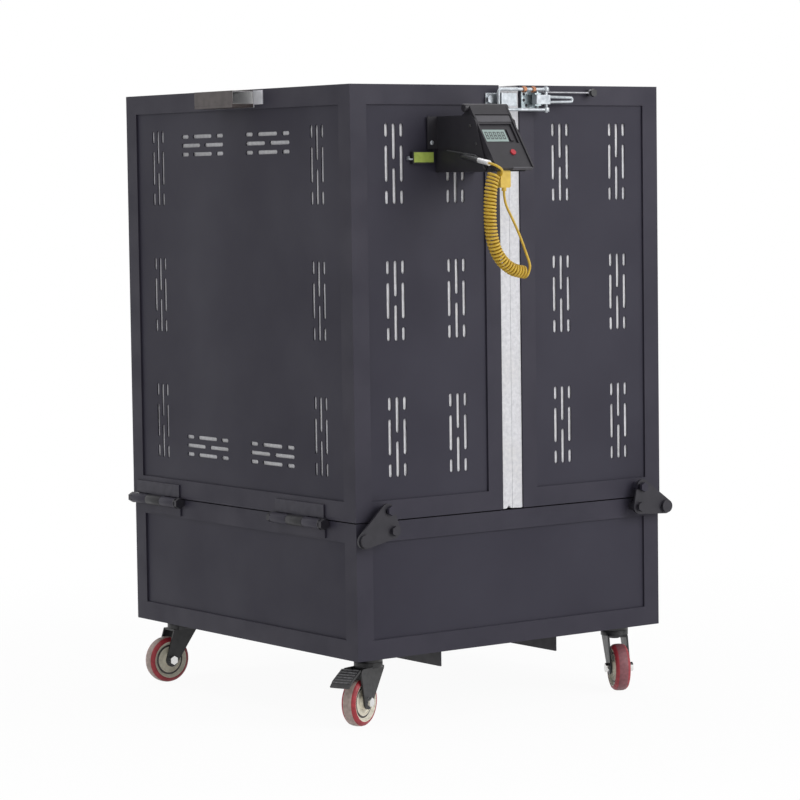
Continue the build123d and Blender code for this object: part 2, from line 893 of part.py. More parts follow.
def hinge_bolts():
    """Bolts of the left hinges, each with a head, a washer and a nut."""
    bolts = []
    for centre in hinge_centres:
        start = centre - hinge_length / 2
        end = centre + hinge_length / 2
        head = start - washer_thickness
        nut_start = end + bolt_gap
        nut_end = end + bolt_head
        tip = nut_end + bolt_thread
        shank = rod((hinge_x, head, hinge_z), (hinge_x, tip, hinge_z), hinge_pin_radius)
        washer = rod((hinge_x, head, hinge_z), (hinge_x, start - bolt_gap, hinge_z), washer_radius)
        hex_head = hexagon((hinge_x, head - bolt_head, hinge_z), (hinge_x, head, hinge_z), bolt_flats)
        nut = hexagon((hinge_x, nut_start, hinge_z), (hinge_x, nut_end, hinge_z), bolt_flats)
        bolts.append(shank + washer + hex_head + nut)
    return bolts


def catch_pivot():
    """Bolt and spacer on the base rail that the left catch turns on."""
    x = -catch_pivot_x
    z = catch_pivot_z
    face = -base_half_depth
    plate_back = -half_depth - catch_standoff
    plate_front = plate_back - catch_thickness
    head_end = plate_front - catch_head
    spacer = rod((x, face, z), (x, plate_back + pivot_back_gap, z), catch_spacer_radius)
    shank = rod((x, face, z), (x, head_end, z), axle_radius)
    head = hexagon((x, plate_front - pivot_end_gap, z), (x, head_end, z), catch_head_flats)
    return spacer + shank + head


def catch_plate(rest_turn):
    """Left swing catch: pivot hole, arc hook for the stud and a finger knob."""
    stud_x = -catch_stud_out
    stud_z = catch_stud_z - catch_pivot_z
    lobes = [(0, 0), (stud_x, stud_z), (-catch_arm, -catch_arm_drop)]
    edges = [edge for x, z in lobes for edge in (Pos(x, z) * Circle(catch_lobe)).edges()]
    outline = make_hull(edges)
    reach = math.hypot(stud_x, stud_z)
    stud_angle = math.degrees(math.atan2(stud_z, stud_x))
    hook = CenterArc((0, 0), reach, stud_angle, -catch_slot_angle)
    outline -= SlotArc(hook, 2 * (catch_stud_radius + catch_slot_gap))
    outline -= Circle(axle_radius + running_gap)
    plate = extrude(outline, catch_thickness)
    knob = Pos(-catch_arm, -catch_arm_drop, catch_thickness) * Cylinder(
        catch_knob_radius, catch_knob_height, align=(Align.CENTER, Align.CENTER, Align.MIN)
    )
    origin = (-catch_pivot_x, -half_depth - catch_standoff, catch_pivot_z)
    place = Plane(origin=origin, x_dir=(1, 0, 0), z_dir=(0, -1, 0))
    return [place * Rot(0, 0, rest_turn) * piece for piece in (plate, knob)]


def handle():
    """Bar socket on the left side: open rectangular tube, back plate and flange below."""
    top = hood_top - handle_drop
    low = top - handle_height
    face = -half_width
    outer = face - handle_edge - handle_reach
    inner = face - handle_plate
    start = handle_start
    end = start + handle_length
    socket = box((outer, start, low), (inner, end, top))
    socket -= box(
        (outer + handle_wall, start, low + handle_wall),
        (inner - handle_wall, end, top - handle_wall),
    )
    plate = box((inner, start - handle_plate_margin, low), (face, end + handle_plate_margin, top))
    flange = box((outer, start, low - handle_flange), (face, end, low))
    return [socket, plate, flange]


def front_point(x, out, z):
    """A point in front of the hood's front face."""
    return (x, -half_depth - out, z)


def latch_base():
    """Plate of the toggle latch on the right half, with two ears and the pivot pin."""
    low = latch_z - latch_ear_spread / 2
    high = latch_z + latch_ear_spread / 2
    plate = box(
        front_point(latch_plate_start, latch_plate, low - latch_plate_margin),
        front_point(latch_plate_end, 0, high + latch_plate_margin),
    )
    for level in (low, high - latch_ear):
        plate += box(
            front_point(latch_pivot_x - latch_ear_back, latch_pivot_out + latch_ear_front, level),
            front_point(latch_plate_end, 0, level + latch_ear),
        )
    pin = rod(
        front_point(latch_pivot_x, latch_pivot_out, low - latch_pin_end),
        front_point(latch_pivot_x, latch_pivot_out, high + latch_pin_end),
        latch_pin_radius,
    )
    return [plate + pin, stay_bolt()]


def stay_bolt():
    """Black bolt that the stay rod turns on."""
    face = stay_point(0)
    head_end = stay_point(stay_head_end)
    bolt = rod(face, head_end, stay_bolt_radius)
    bolt += rod(face, stay_point(stay_spacer_end), stay_spacer_radius)
    return bolt + hexagon(stay_point(stay_head_start), head_end, small_nut_flats)


def stay_point(out):
    """A point on the axis of the stay rod's bolt."""
    return front_point(stay_pivot_x, out, stay_level)


def stay_rod():
    """Thin rod that drops over the closed latch handle, with an eye on the bolt."""
    ends = stay_point(stay_eye_start), stay_point(stay_eye_end)
    wire = rod(
        front_point(stay_pivot_x - stay_wire_root, stay_out, stay_level),
        front_point(stay_pivot_x - stay_length, stay_out, stay_level),
        stay_radius,
    )
    return [rod(*ends, stay_eye_radius) + wire - rod(*ends, stay_bolt_radius + running_gap)]


def latch_lever():
    """Lever of the latch: head on the pivot, loop pin and a hairpin handle."""
    half = latch_ear_spread / 2 - latch_ear - lever_side_gap
    pin_x = latch_pivot_x + latch_throw
    head = box(
        front_point(latch_pivot_x - lever_head_end, latch_pivot_out + lever_head_front, latch_z - half),
        front_point(pin_x + lever_head_end, latch_pivot_out - lever_head_back, latch_z + half),
    )
    bore_low = front_point(latch_pivot_x, latch_pivot_out, latch_z - half)
    bore_high = front_point(latch_pivot_x, latch_pivot_out, latch_z + half)
    head -= rod(bore_low, bore_high, latch_pin_radius + running_gap)
    half_pin = latch_rod_spread / 2 + latch_eye_length / 2 + lever_pin_end
    pin = rod(
        front_point(pin_x, latch_loop_out, latch_z - half_pin),
        front_point(pin_x, latch_loop_out, latch_z + half_pin),
        latch_pin_radius,
    )
    root = pin_x + latch_handle_root
    root_spread = latch_handle_spread / 2
    tip_spread = root_spread - latch_handle_taper
    path = FilletPolyline(
        front_point(root, latch_loop_out, latch_z - root_spread),
        front_point(latch_handle_tip, latch_loop_out, latch_z - tip_spread),
        front_point(latch_handle_tip, latch_loop_out, latch_z + tip_spread),
        front_point(root, latch_loop_out, latch_z + root_spread),
        radius=latch_handle_bend,
    )
    return [head + pin + tube(path, latch_handle_radius)]


def latch_loop():
    """Bent rod that hooks on the keeper, with an eye at each end on the lever's pin."""
    pin_x = latch_pivot_x + latch_throw
    spread = latch_rod_spread / 2
    out = latch_loop_out
    root = pin_x - latch_eye_overlap
    path = FilletPolyline(
        front_point(root, out, latch_z - spread),
        front_point(loop_end_x, out, latch_z - spread),
        front_point(loop_end_x, out, latch_z + spread),
        front_point(root, out, latch_z + spread),
        radius=latch_bend,
    )
    loop = tube(path, latch_rod_radius)
    for level in (latch_z - spread, latch_z + spread):
        low = front_point(pin_x, out, level - latch_eye_length / 2)
        high = front_point(pin_x, out, level + latch_eye_length / 2)
        loop = loop + rod(low, high, latch_eye_radius) - rod(low, high, latch_pin_radius + running_gap)
    return [loop]


def latch_keeper():
    """Bent keeper plate on the left half, with the lip that holds the loop."""
    low = latch_z - keeper_width / 2
    high = latch_z + keeper_width / 2
    foot_end = -seam_edge - keeper_end_inset
    face_end = loop_end_x + latch_rod_radius + keeper_gap
    back = keeper_out - keeper_sheet
    foot = box(front_point(keeper_start, keeper_sheet, low), front_point(foot_end, 0, high))
    riser = box(front_point(foot_end - keeper_sheet, keeper_out, low), front_point(foot_end, 0, high))
    plate = box(front_point(face_end, keeper_out, low), front_point(face_end + keeper_reach, back, high))
    lip = box(front_point(face_end, keeper_lip_out, low), front_point(face_end + keeper_lip, back, high))
    nut_x = keeper_start + keeper_nut_inset
    nut_start = front_point(nut_x, keeper_sheet, latch_z)
    nut_end = front_point(nut_x, keeper_sheet + keeper_nut, latch_z)
    return [foot + riser + plate + lip, hexagon(nut_start, nut_end, small_nut_flats)]


def tube(path, radius):
    """A round tube or wire swept along a path."""
    start = path ^ 0
    return sweep(Plane(origin=start.position, z_dir=path % 0) * Circle(radius), path=path)


def meter_plane():
    """Plane of the meter's face: X across, Y up the slope, Z out of it."""
    lean = math.radians(meter_lean)
    normal = (0, -math.cos(lean), math.sin(lean))
    origin = (meter_left, meter_face_bottom_y, meter_face_bottom_z)
    return Plane(origin=origin, x_dir=(1, 0, 0), z_dir=normal)


def meter_case():
    """Leaning case of the thermometer with its side ridges, top bar and window recess."""
    face = meter_plane()
    lean = math.radians(meter_lean)
    up = (math.sin(lean), math.cos(lean))
    back = (math.cos(lean), -math.sin(lean))
    bottom = (meter_face_bottom_y, meter_face_bottom_z)
    top = (bottom[0] + up[0] * meter_face_length, bottom[1] + up[1] * meter_face_length)
    top_back = (top[0] + back[0] * meter_thickness, top[1] + back[1] * meter_thickness)
    drop = top_back[1] - meter_bottom_z
    back_foot = (top_back[0] - drop * math.tan(lean), meter_bottom_z)
    front_foot = (bottom[0] + meter_foot, meter_bottom_z)
    inset = tray_sheet + hidden_gap
    width = meter_width - 2 * inset
    case = side_block([bottom, top, top_back, back_foot, front_foot], meter_left + inset, width)
    for x in (inset + ridge_width / 2, meter_width - inset - ridge_width / 2):
        ridge = Box(ridge_width, meter_face_length, ridge_height)
        case += face * Pos(x, meter_face_length / 2, ridge_height / 2) * ridge
    bar_y = meter_face_length + top_bar_rise
    bar_start = face * Pos(-top_bar_overhang, bar_y, 1 - top_bar_radius)
    bar_end = face * Pos(meter_width + top_bar_rise, bar_y, 1 - top_bar_radius)
    case += rod(bar_start.position, bar_end.position, top_bar_radius)
    case -= face * Pos(window_x, window_y, 0) * Box(window_width, window_height, 2 * window_recess)
    well = Cylinder(button_radius + button_gap, 2 * button_floor)
    case -= face * Pos(button_x, button_y, 0) * well
    for side in (-blade_spread, blade_spread):
        case -= plug_blade(side, 0, blade_length + 1, blade_gap)
    return [case]


def plug_blade(side, root, length, gap):
    """One flat blade of the plug, or with a gap the slot for it in the case."""
    half_width = blade_width / 2 + gap
    half_thickness = blade_thickness / 2 + gap
    return box(
        (plug_x + side - half_width, plug_y - half_thickness, meter_bottom_z - root),
        (plug_x + side + half_width, plug_y + half_thickness, meter_bottom_z + length),
    )


def meter_window():
    """Display window seated in the recess of the case."""
    pane = Box(window_width, window_height, window_thickness)
    depth = window_thickness / 2 - window_recess
    return [meter_plane() * Pos(window_x, window_y, depth) * pane]


def meter_button():
    """Red round button below the display."""
    low = -button_floor + button_stroke + button_rest
    stem = Cylinder(button_radius, button_proud - low)
    return [meter_plane() * Pos(button_x, button_y, (low + button_proud) / 2) * stem]


def meter_bracket():
    """Folded bracket on the front face that carries the tray and the meter."""
    wall = -half_depth
    back = box(
        (meter_left - bracket_flange, wall - tray_sheet, tray_bottom_z + bracket_low),
        (meter_right, wall, bracket_top_z),
    )
    outline = [(wall - tray_sheet, bracket_top_z)]
    outline += [(wall - out, bracket_top_z + rise) for out, rise in cheek_top]
    outline += [(wall - out, tray_bottom_z + rise) for out, rise in cheek_foot]
    outline.append((wall - tray_sheet, tray_bottom_z + tray_sheet))
    cheek = side_block(outline, meter_left, tray_sheet)
    far_cheek = side_block(outline, meter_right - tray_sheet, tray_sheet)
    bracket = back + cheek + far_cheek - probe_clearance()
    return [bracket, meter_tray()]


def meter_tray():
    """Open tray under the bracket, with a light lip line along its top edge."""
    wall = -half_depth
    outline = [(wall, tray_bottom_z), (wall, tray_bottom_z + tray_lip_back)]
    outline += [(wall - out, tray_bottom_z + rise) for out, rise in tray_edge]
    near = side_block(outline, meter_left - tray_sheet, tray_sheet)
    far = side_block(outline, meter_right, tray_sheet)
    bottom = box(
        (meter_left - tray_sheet, wall - tray_floor_out, tray_bottom_z),
        (meter_right + tray_sheet, wall, tray_bottom_z + tray_sheet),
    )
    return near + far + bottom - probe_clearance()


def probe_clearance():
    """Cutter that follows the probe with a small gap all round."""
    return tube(probe_path(), probe_radius + hidden_gap)


def thermocouple_probe():
    """Metal sleeve of the probe, bent in the tray and passing into the chamber."""
    return [tube(probe_path(), probe_radius)]


def coil_axis():
    """Line that the middle of the curly cord follows as it hangs."""
    return Spline([(x, coil_plane_y, z) for x, z in coil_axis_xz])


def coil_point(axis, share):
    """Point of the cord's centre line at a share of the coil's length."""
    place = axis.position_at(share, position_mode=PositionMode.LENGTH)
    along = axis.tangent_at(share, position_mode=PositionMode.LENGTH)
    inward = Vector(-along.Z, 0, along.X)
    turn = 2 * math.pi * coil_turns * share / axis.length
    radius = (coil_outer - cord_diameter) / 2
    return place + inward * (radius * math.cos(turn)) + Vector(0, radius * math.sin(turn), 0)


def coil_direction(axis, share):
    """Direction of the cord there."""
    step = axis.length * 1e-4
    low = max(share - step, 0)
    high = min(share + step, axis.length)
    return (coil_point(axis, high) - coil_point(axis, low)).normalized()


def biarc(start, start_way, end, end_way):
    """Two arcs that join two points and keep the direction at both."""
    gap = end - start
    ways = start_way + end_way
    spare = 2 * (1 - start_way.dot(end_way))
    along = gap.dot(ways)
    reach = (-along + math.sqrt(along * along + spare * gap.dot(gap))) / spare
    middle = (start + end + (start_way - end_way) * reach) * 0.5
    middle_way = (end - end_way * reach) - (start + start_way * reach)
    first = TangentArc(start, middle, tangent=start_way)
    return [first, TangentArc(middle, end, tangent=middle_way)]


def coil_wire():
    """The curly stretch as one run of arcs, with a short straight piece at each end."""
    axis = coil_axis()
    steps = round(coil_turns * 2)
    marks = [axis.length * index / steps for index in range(steps + 1)]
    points = [coil_point(axis, mark) for mark in marks]
    ways = [coil_direction(axis, mark) for mark in marks]
    edges = [Line(points[0] - ways[0] * cord_diameter, points[0])]
    for index in range(steps):
        edges += biarc(points[index], ways[index], points[index + 1], ways[index + 1])
    edges.append(Line(points[-1], points[-1] + ways[-1] * cord_diameter))
    return edges, points[0] - ways[0] * cord_diameter, points[-1] + ways[-1] * cord_diameter, ways


def cord_coil():
    """Curly stretch of the cord, one unbroken wire."""
    edges, start, end, ways = coil_wire()
    path = Wire([piece.edge() for piece in edges])
    print("least gap between turns", round(least_coil_gap(), 2))
    return [sweep(cord_section(start, ways[0]), path=path)], start, ways[0], end, ways[-1]


def cord_section(start, way):
    """Many-sided section of the cord, with its corners on the cord's round outline."""
    return Plane(origin=start, z_dir=way) * RegularPolygon(cord_diameter / 2, cord_sides)


def least_coil_gap():
    """Least distance between the surfaces of turns next to each other."""
    axis = coil_axis()
    per_turn = 24
    count = int(coil_turns * per_turn)
    points = [coil_point(axis, axis.length * index / count) for index in range(count + 1)]
    nearest = min(
        (points[first] - points[second]).length
        for first in range(count - per_turn // 2)
        for second in range(first + per_turn // 2, min(first + 2 * per_turn, count + 1))
    )
    return nearest - cord_diameter


def bend_radii(points):
    """Radius at each corner: 0.45 of the shorter run over the tangent of half the turn."""
    radii = []
    for before, here, after in zip(points, points[1:], points[2:]):
        shorter = min((here - before).length, (after - here).length)
        turn = (here - before).get_angle(after - here)
        radii.append(0.45 * shorter / math.tan(math.radians(turn / 2)))
    return radii


def cord_lead(name, points):
    """A free stretch of the cord through hand-placed points."""
    points = [Vector(point) for point in points]
    radii = bend_radii(points)
    path = FilletPolyline(*points, radius=radii)
    section = cord_section((path ^ 0).position, path % 0)
    lead = sweep(section, path=path)
    expected = section.area * path.length
    print(name, "radii", [round(radius, 1) for radius in radii], "length", round(path.length, 1))
    print(name, "volume over section by length", round(lead.volume / expected, 4))
    return [lead]


def cord_plug():
    """Flat plug with rounded shoulders, a short neck and two blades."""
    low = plug_bottom_z + plug_neck
    middle = (meter_bottom_z + low) / 2
    outline = RectangleRounded(plug_width, meter_bottom_z - low, plug_corner)
    plane = Plane(origin=(plug_x, plug_y, middle), x_dir=(1, 0, 0), z_dir=(0, -1, 0))
    body = extrude(plane * outline, plug_thickness / 2, both=True)
    body += rod((plug_x, plug_y, plug_bottom_z), (plug_x, plug_y, middle), plug_neck_radius)
    for side in (-blade_spread, blade_spread):
        body += plug_blade(side, blade_root, blade_length, 0)
    return [body]


def caster_spot(name):
    """Where a caster's swivel axis stands on the floor."""
    x = half_width - caster_inset_x
    y = half_depth - caster_inset_y
    end, side = name.split("_")
    return (-x if side == "left" else x, -y if end == "front" else y)


def caster_plates():
    """Top plates with bearing cups and kingpins, one under each corner."""
    plates = []
    low = caster_height - plate_thickness
    head_top = fork_crown_top - fork_crown_depth - fork_wall - fork_head_gap
    head_low = head_top - kingpin_head
    for name in caster_turns:
        x, y = caster_spot(name)
        plate = Pos(x, y, low + plate_thickness / 2) * Box(caster_plate, caster_plate, plate_thickness)
        plate += rod((x, y, fork_crown_top + race_gap), (x, y, low), race_radius)
        plate += rod((x, y, head_low), (x, y, low), kingpin_radius)
        plate += rod((x, y, head_low), (x, y, head_top), kingpin_radius + kingpin_rim)
        plates.append(plate)
    return plates


def caster_fork(name):
    """Pressed fork with its bearing cup, two legs and the axle bolt."""
    axle_z = wheel_radius
    crown = fork_crown_top - fork_crown_depth
    edge = Rectangle(fork_crown_length, fork_crown_edge)
    lobes = [Pos(caster_trail, axle_z) * Circle(fork_eye_radius)]
    lobes.append(Pos(fork_crown_shift, crown - fork_crown_edge / 2) * edge)
    if name in braked_casters:
        lobes.append(Pos(pedal_x, pedal_z) * Circle(fork_ear_radius))
    outline = make_hull([line for lobe in lobes for line in lobe.edges()])
    outline -= Pos(caster_trail, axle_z) * Circle(axle_radius + running_gap)
    inner = wheel_width / 2 + fork_side_gap
    outer = inner + fork_wall
    fork = Pos(fork_crown_shift, 0, crown - fork_wall / 2) * Box(fork_crown_length, 2 * outer, fork_wall)
    for face in (-inner, outer):
        fork += extrude(upright_plane(face) * outline, fork_wall)
    fork += rod((0, 0, crown - race_root), (0, 0, fork_crown_top), race_radius)
    fork -= rod((0, 0, crown - fork_wall), (0, 0, fork_crown_top), kingpin_radius + running_gap)
    end = outer + axle_end
    bolt = rod((caster_trail, -end, axle_z), (caster_trail, end, axle_z), axle_radius)
    for side in (-1, 1):
        near = (caster_trail, side * (outer + axle_nut_gap), axle_z)
        far = (caster_trail, side * (outer + axle_nut), axle_z)
        bolt += hexagon(near, far, axle_nut_flats)
    return place_caster(name, [fork, bolt])


def upright_plane(y):
    """Upright plane across a caster that is not turned yet, looking from its front."""
    return Plane(origin=(0, y, 0), x_dir=(1, 0, 0), z_dir=(0, -1, 0))


def caster_wheel(name):
    """Wheel with a soft tread on a dished hub with a bored boss."""
    half = wheel_width / 2
    bore = axle_radius + running_gap
    rim = wheel_radius - tread_thickness
    web = half - hub_dish
    tread = turned([(rim, -half), (rim, half), (wheel_radius, half), (wheel_radius, -half)])
    hub = turned([
        (bore, -half),
        (bore, half),
        (boss_radius, half),
        (boss_radius, web),
        (rim, web),
        (rim, -web),
        (boss_radius, -web),
        (boss_radius, -half),
    ])
    place = Pos(caster_trail, 0, wheel_radius) * Rot(90, 0, 0)
    return place_caster(name, [place * tread, place * hub])


def pedal_block(points, width):
    """A level block across the pedal, from outline points about its pivot."""
    outline = Polygon(*[(pedal_x + x, pedal_z + z) for x, z in points], align=None)
    return extrude(upright_plane(width / 2) * outline, width, dir=(0, -1, 0))


def brake_pedal(name):
    """Foot pedal of a braked caster, bent down over the wheel."""
    inner = wheel_width / 2 + fork_side_gap - pedal_side_gap
    pedal = pedal_block(pedal_plate, pedal_width) + pedal_block(pedal_arm, 2 * inner)
    shoe = Box(pedal_shoe_thickness, 2 * inner - pedal_shoe_inset, pedal_shoe)
    pedal += Pos(pedal_x + pedal_shoe_shift, 0, pedal_z - pedal_shoe / 2) * shoe
    pedal += rod((pedal_x, -inner, pedal_z), (pedal_x, inner, pedal_z), pedal_pin_radius)
    return place_caster(name, [pedal])


def place_caster(name, pieces):
    """Turn a caster's pieces to their heading and stand them at their corner."""
    x, y = caster_spot(name)
    return [Pos(x, y, 0) * Rot(0, 0, caster_turns[name]) * piece for piece in pieces]


def write_base():
    """The base, its floor, the burners and the gas train."""
    save("base_frame", base_frame())
    save("base_panels", base_panels())
    save("base_floor_plate", floor_plate())
    save("floor_boards", floor_boards())
    save("kiln_posts", kiln_posts())
    save("kiln_shelf", kiln_shelf())
    save("base_cross_bars", cross_bars())
    save("under_base_bearers", bearers())
    save("burner_tubes", burner_tubes())
    save("gas_manifold", gas_manifold())
    save("gas_valve_body", gas_valve_body())
    save("gas_valve_lever", gas_valve_lever())
    save("flame_valve_body", flame_valve())
    save("flame_valve_button", flame_valve_button())
    save("gas_inlet", gas_inlet())
    leaves = base_hinge_leaves()
    save("base_hinge_leaves", leaves + swap_side(leaves))
    bolts = hinge_bolts() + [catch_pivot()]
    save("pivot_bolts", bolts + swap_side(bolts))
    save("caster_plates", caster_plates())


def write_hood():
    """Both half hoods, which mirror each other."""
    front, rear = hood_end_panels()
    side = hood_side_panel()
    roof = hood_roof()
    probe_cut = probe_hole(probe_radius + hidden_gap)
    halves = {
        "frame": hood_frame(),
        "end_panels": [front, rear],
        "side_panel": [side],
        "roof": [roof],
        "wall_lining": wall_lining(),
        "roof_lining": roof_lining(),
        "hinge_leaves": hood_hinge_leaves(),
        "handle": handle(),
    }
    for name, pieces in halves.items():
        save(f"hood_right_{name}", swap_side(pieces))
        if name in ("end_panels", "wall_lining"):
            pieces = [piece - probe_cut for piece in pieces]
        save(f"hood_left_{name}", pieces)
    save("catch_left", catch_plate(left_catch_rest))
    save("catch_right", swap_side(catch_plate(0)))


def write_latch():
    """The toggle latch over the seam and its stay rod."""
    save("latch_base", latch_base())
    save("latch_lever", latch_lever())
    save("latch_loop", latch_loop())
    save("latch_keeper", latch_keeper())
    save("latch_stay_rod", stay_rod())


def write_meter():
    """The thermometer, its probe and the curly cord."""
    save("meter_bracket", meter_bracket())
    save("meter_case", meter_case())
    save("meter_window", meter_window())
    save("meter_button", meter_button())
    save("thermocouple_probe", thermocouple_probe())
    coil, start, start_way, end, end_way = cord_coil()
    save("cord_coil", coil)
    sleeve_way = probe_path() % 0
    save("cord_probe_lead", cord_lead("cord_probe_lead", [
        sleeve_end,
        Vector(sleeve_end) - sleeve_way * sleeve_run,
        *probe_lead_turns,
        start - start_way * coil_entry,
        start,
    ]))
    save("cord_plug_lead", cord_lead("cord_plug_lead", [
        end,
        end + end_way * coil_exit,
        *plug_lead_turns,
        (plug_x, plug_y, plug_bottom_z - plug_entry),
        (plug_x, plug_y, plug_bottom_z),
    ]))
    save("cord_plug", cord_plug())


def write_casters():
    """Four swivel casters, two of them braked."""
    for name in caster_turns:
        save(f"caster_{name}_fork", caster_fork(name))
        save(f"caster_{name}_wheel", caster_wheel(name))
        if name in braked_casters:
            save(f"caster_{name}_pedal", brake_pedal(name))


write_base()
write_hood()
write_latch()
write_meter()
write_casters()
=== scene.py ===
"""Looks of the gas kiln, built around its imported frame."""

import json
import logging
import math
from dataclasses import dataclass, field, replace
from enum import Enum
from functools import cache
from itertools import product
from typing import Any, Callable, Iterable, Protocol, Sequence

import bmesh
import bpy
from mathutils import Matrix, Vector, noise

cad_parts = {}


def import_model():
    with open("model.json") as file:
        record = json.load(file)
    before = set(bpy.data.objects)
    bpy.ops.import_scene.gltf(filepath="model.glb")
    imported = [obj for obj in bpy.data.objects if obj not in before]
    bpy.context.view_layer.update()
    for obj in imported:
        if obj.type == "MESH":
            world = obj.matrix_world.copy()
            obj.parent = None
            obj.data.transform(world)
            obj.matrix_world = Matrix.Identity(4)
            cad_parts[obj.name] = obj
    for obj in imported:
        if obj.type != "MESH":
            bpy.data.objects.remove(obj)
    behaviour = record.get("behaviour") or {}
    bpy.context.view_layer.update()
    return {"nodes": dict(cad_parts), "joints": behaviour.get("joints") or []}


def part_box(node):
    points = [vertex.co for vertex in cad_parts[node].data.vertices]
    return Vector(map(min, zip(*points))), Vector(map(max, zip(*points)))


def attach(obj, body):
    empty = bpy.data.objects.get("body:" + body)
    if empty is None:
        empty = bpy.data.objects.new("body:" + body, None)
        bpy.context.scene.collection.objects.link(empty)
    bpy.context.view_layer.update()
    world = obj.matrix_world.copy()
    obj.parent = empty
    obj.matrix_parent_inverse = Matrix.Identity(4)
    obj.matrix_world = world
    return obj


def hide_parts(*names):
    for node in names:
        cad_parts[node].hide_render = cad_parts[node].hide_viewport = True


LOG = logging.getLogger("gas_kiln")
MM = 0.001
WHITE = (1.0, 1.0, 1.0, 1.0)
# Metres: beyond all that is measured, and gaps between points and corners that are one.
FAR = 9.0
SAME_POINT = 1e-6
SAME_CORNER = 1e-5
SMOOTH_BELOW = math.radians(35)
ROUND_ABOVE = math.radians(40)
Pair = tuple[float, float]
Triple = tuple[float, float, float]
Colour = Triple
Tones = tuple[Colour, Colour]
# Low X, high X, low Y and high Y.
Box = tuple[float, float, float, float]
# The lowest corner and the highest.
Corners = tuple[Sequence[float], Sequence[float]]
BMesh = bmesh.types.BMesh
Object = bpy.types.Object
Material = bpy.types.Material


class Side(Enum):
    """The two halves of the hood, each with the sign of its X."""

    LEFT = -1
    RIGHT = 1

    @property
    def word(self) -> str:
        """The half's name as the nodes spell it."""
        return self.name.lower()

    @property
    def body(self) -> str:
        """The body that the half's pieces ride on."""
        return f"hood_{self.word}"


class Axis(Enum):
    """An axis that something is turned about."""

    X = "X"
    Y = "Y"


class Measure(Enum):
    """What a zone is limited by: the distance from a middle plane or from an axle."""

    X = 0
    Y = 1
    Z = 2
    RADIUS = 3
    OFFSET = 4


Limits = tuple[tuple[Measure, float, float], ...]


class Signal:
    """A shader socket that takes part in arithmetic."""

    def __init__(self, recipe: "Recipe", socket: bpy.types.NodeSocket) -> None:
        """Keep the socket and the recipe it belongs to."""
        self.recipe = recipe
        self.socket = socket

    def __add__(self, other: "Signal | float") -> "Signal":
        """Sum."""
        return self.recipe.math("ADD", self, other)

    def __radd__(self, other: float) -> "Signal":
        """Sum, the number first."""
        return self.recipe.math("ADD", other, self)

    def __sub__(self, other: "Signal | float") -> "Signal":
        """Difference."""
        return self.recipe.math("SUBTRACT", self, other)

    def __rsub__(self, other: float) -> "Signal":
        """Difference, the number first."""
        return self.recipe.math("SUBTRACT", other, self)

    def __mul__(self, other: "Signal | float") -> "Signal":
        """Product."""
        return self.recipe.math("MULTIPLY", self, other)

    def __rmul__(self, other: float) -> "Signal":
        """Product, the number first."""
        return self.recipe.math("MULTIPLY", other, self)

    def __gt__(self, other: "Signal | float") -> "Signal":
        """1 where this is above the other."""
        return self.recipe.math("GREATER_THAN", self, other)

    def __lt__(self, other: "Signal | float") -> "Signal":
        """1 where this is below the other."""
        return self.recipe.math("LESS_THAN", self, other)

    def between(self, low: float, high: float) -> "Signal":
        """1 where this is between two limits."""
        return (self > low) * (self < high)


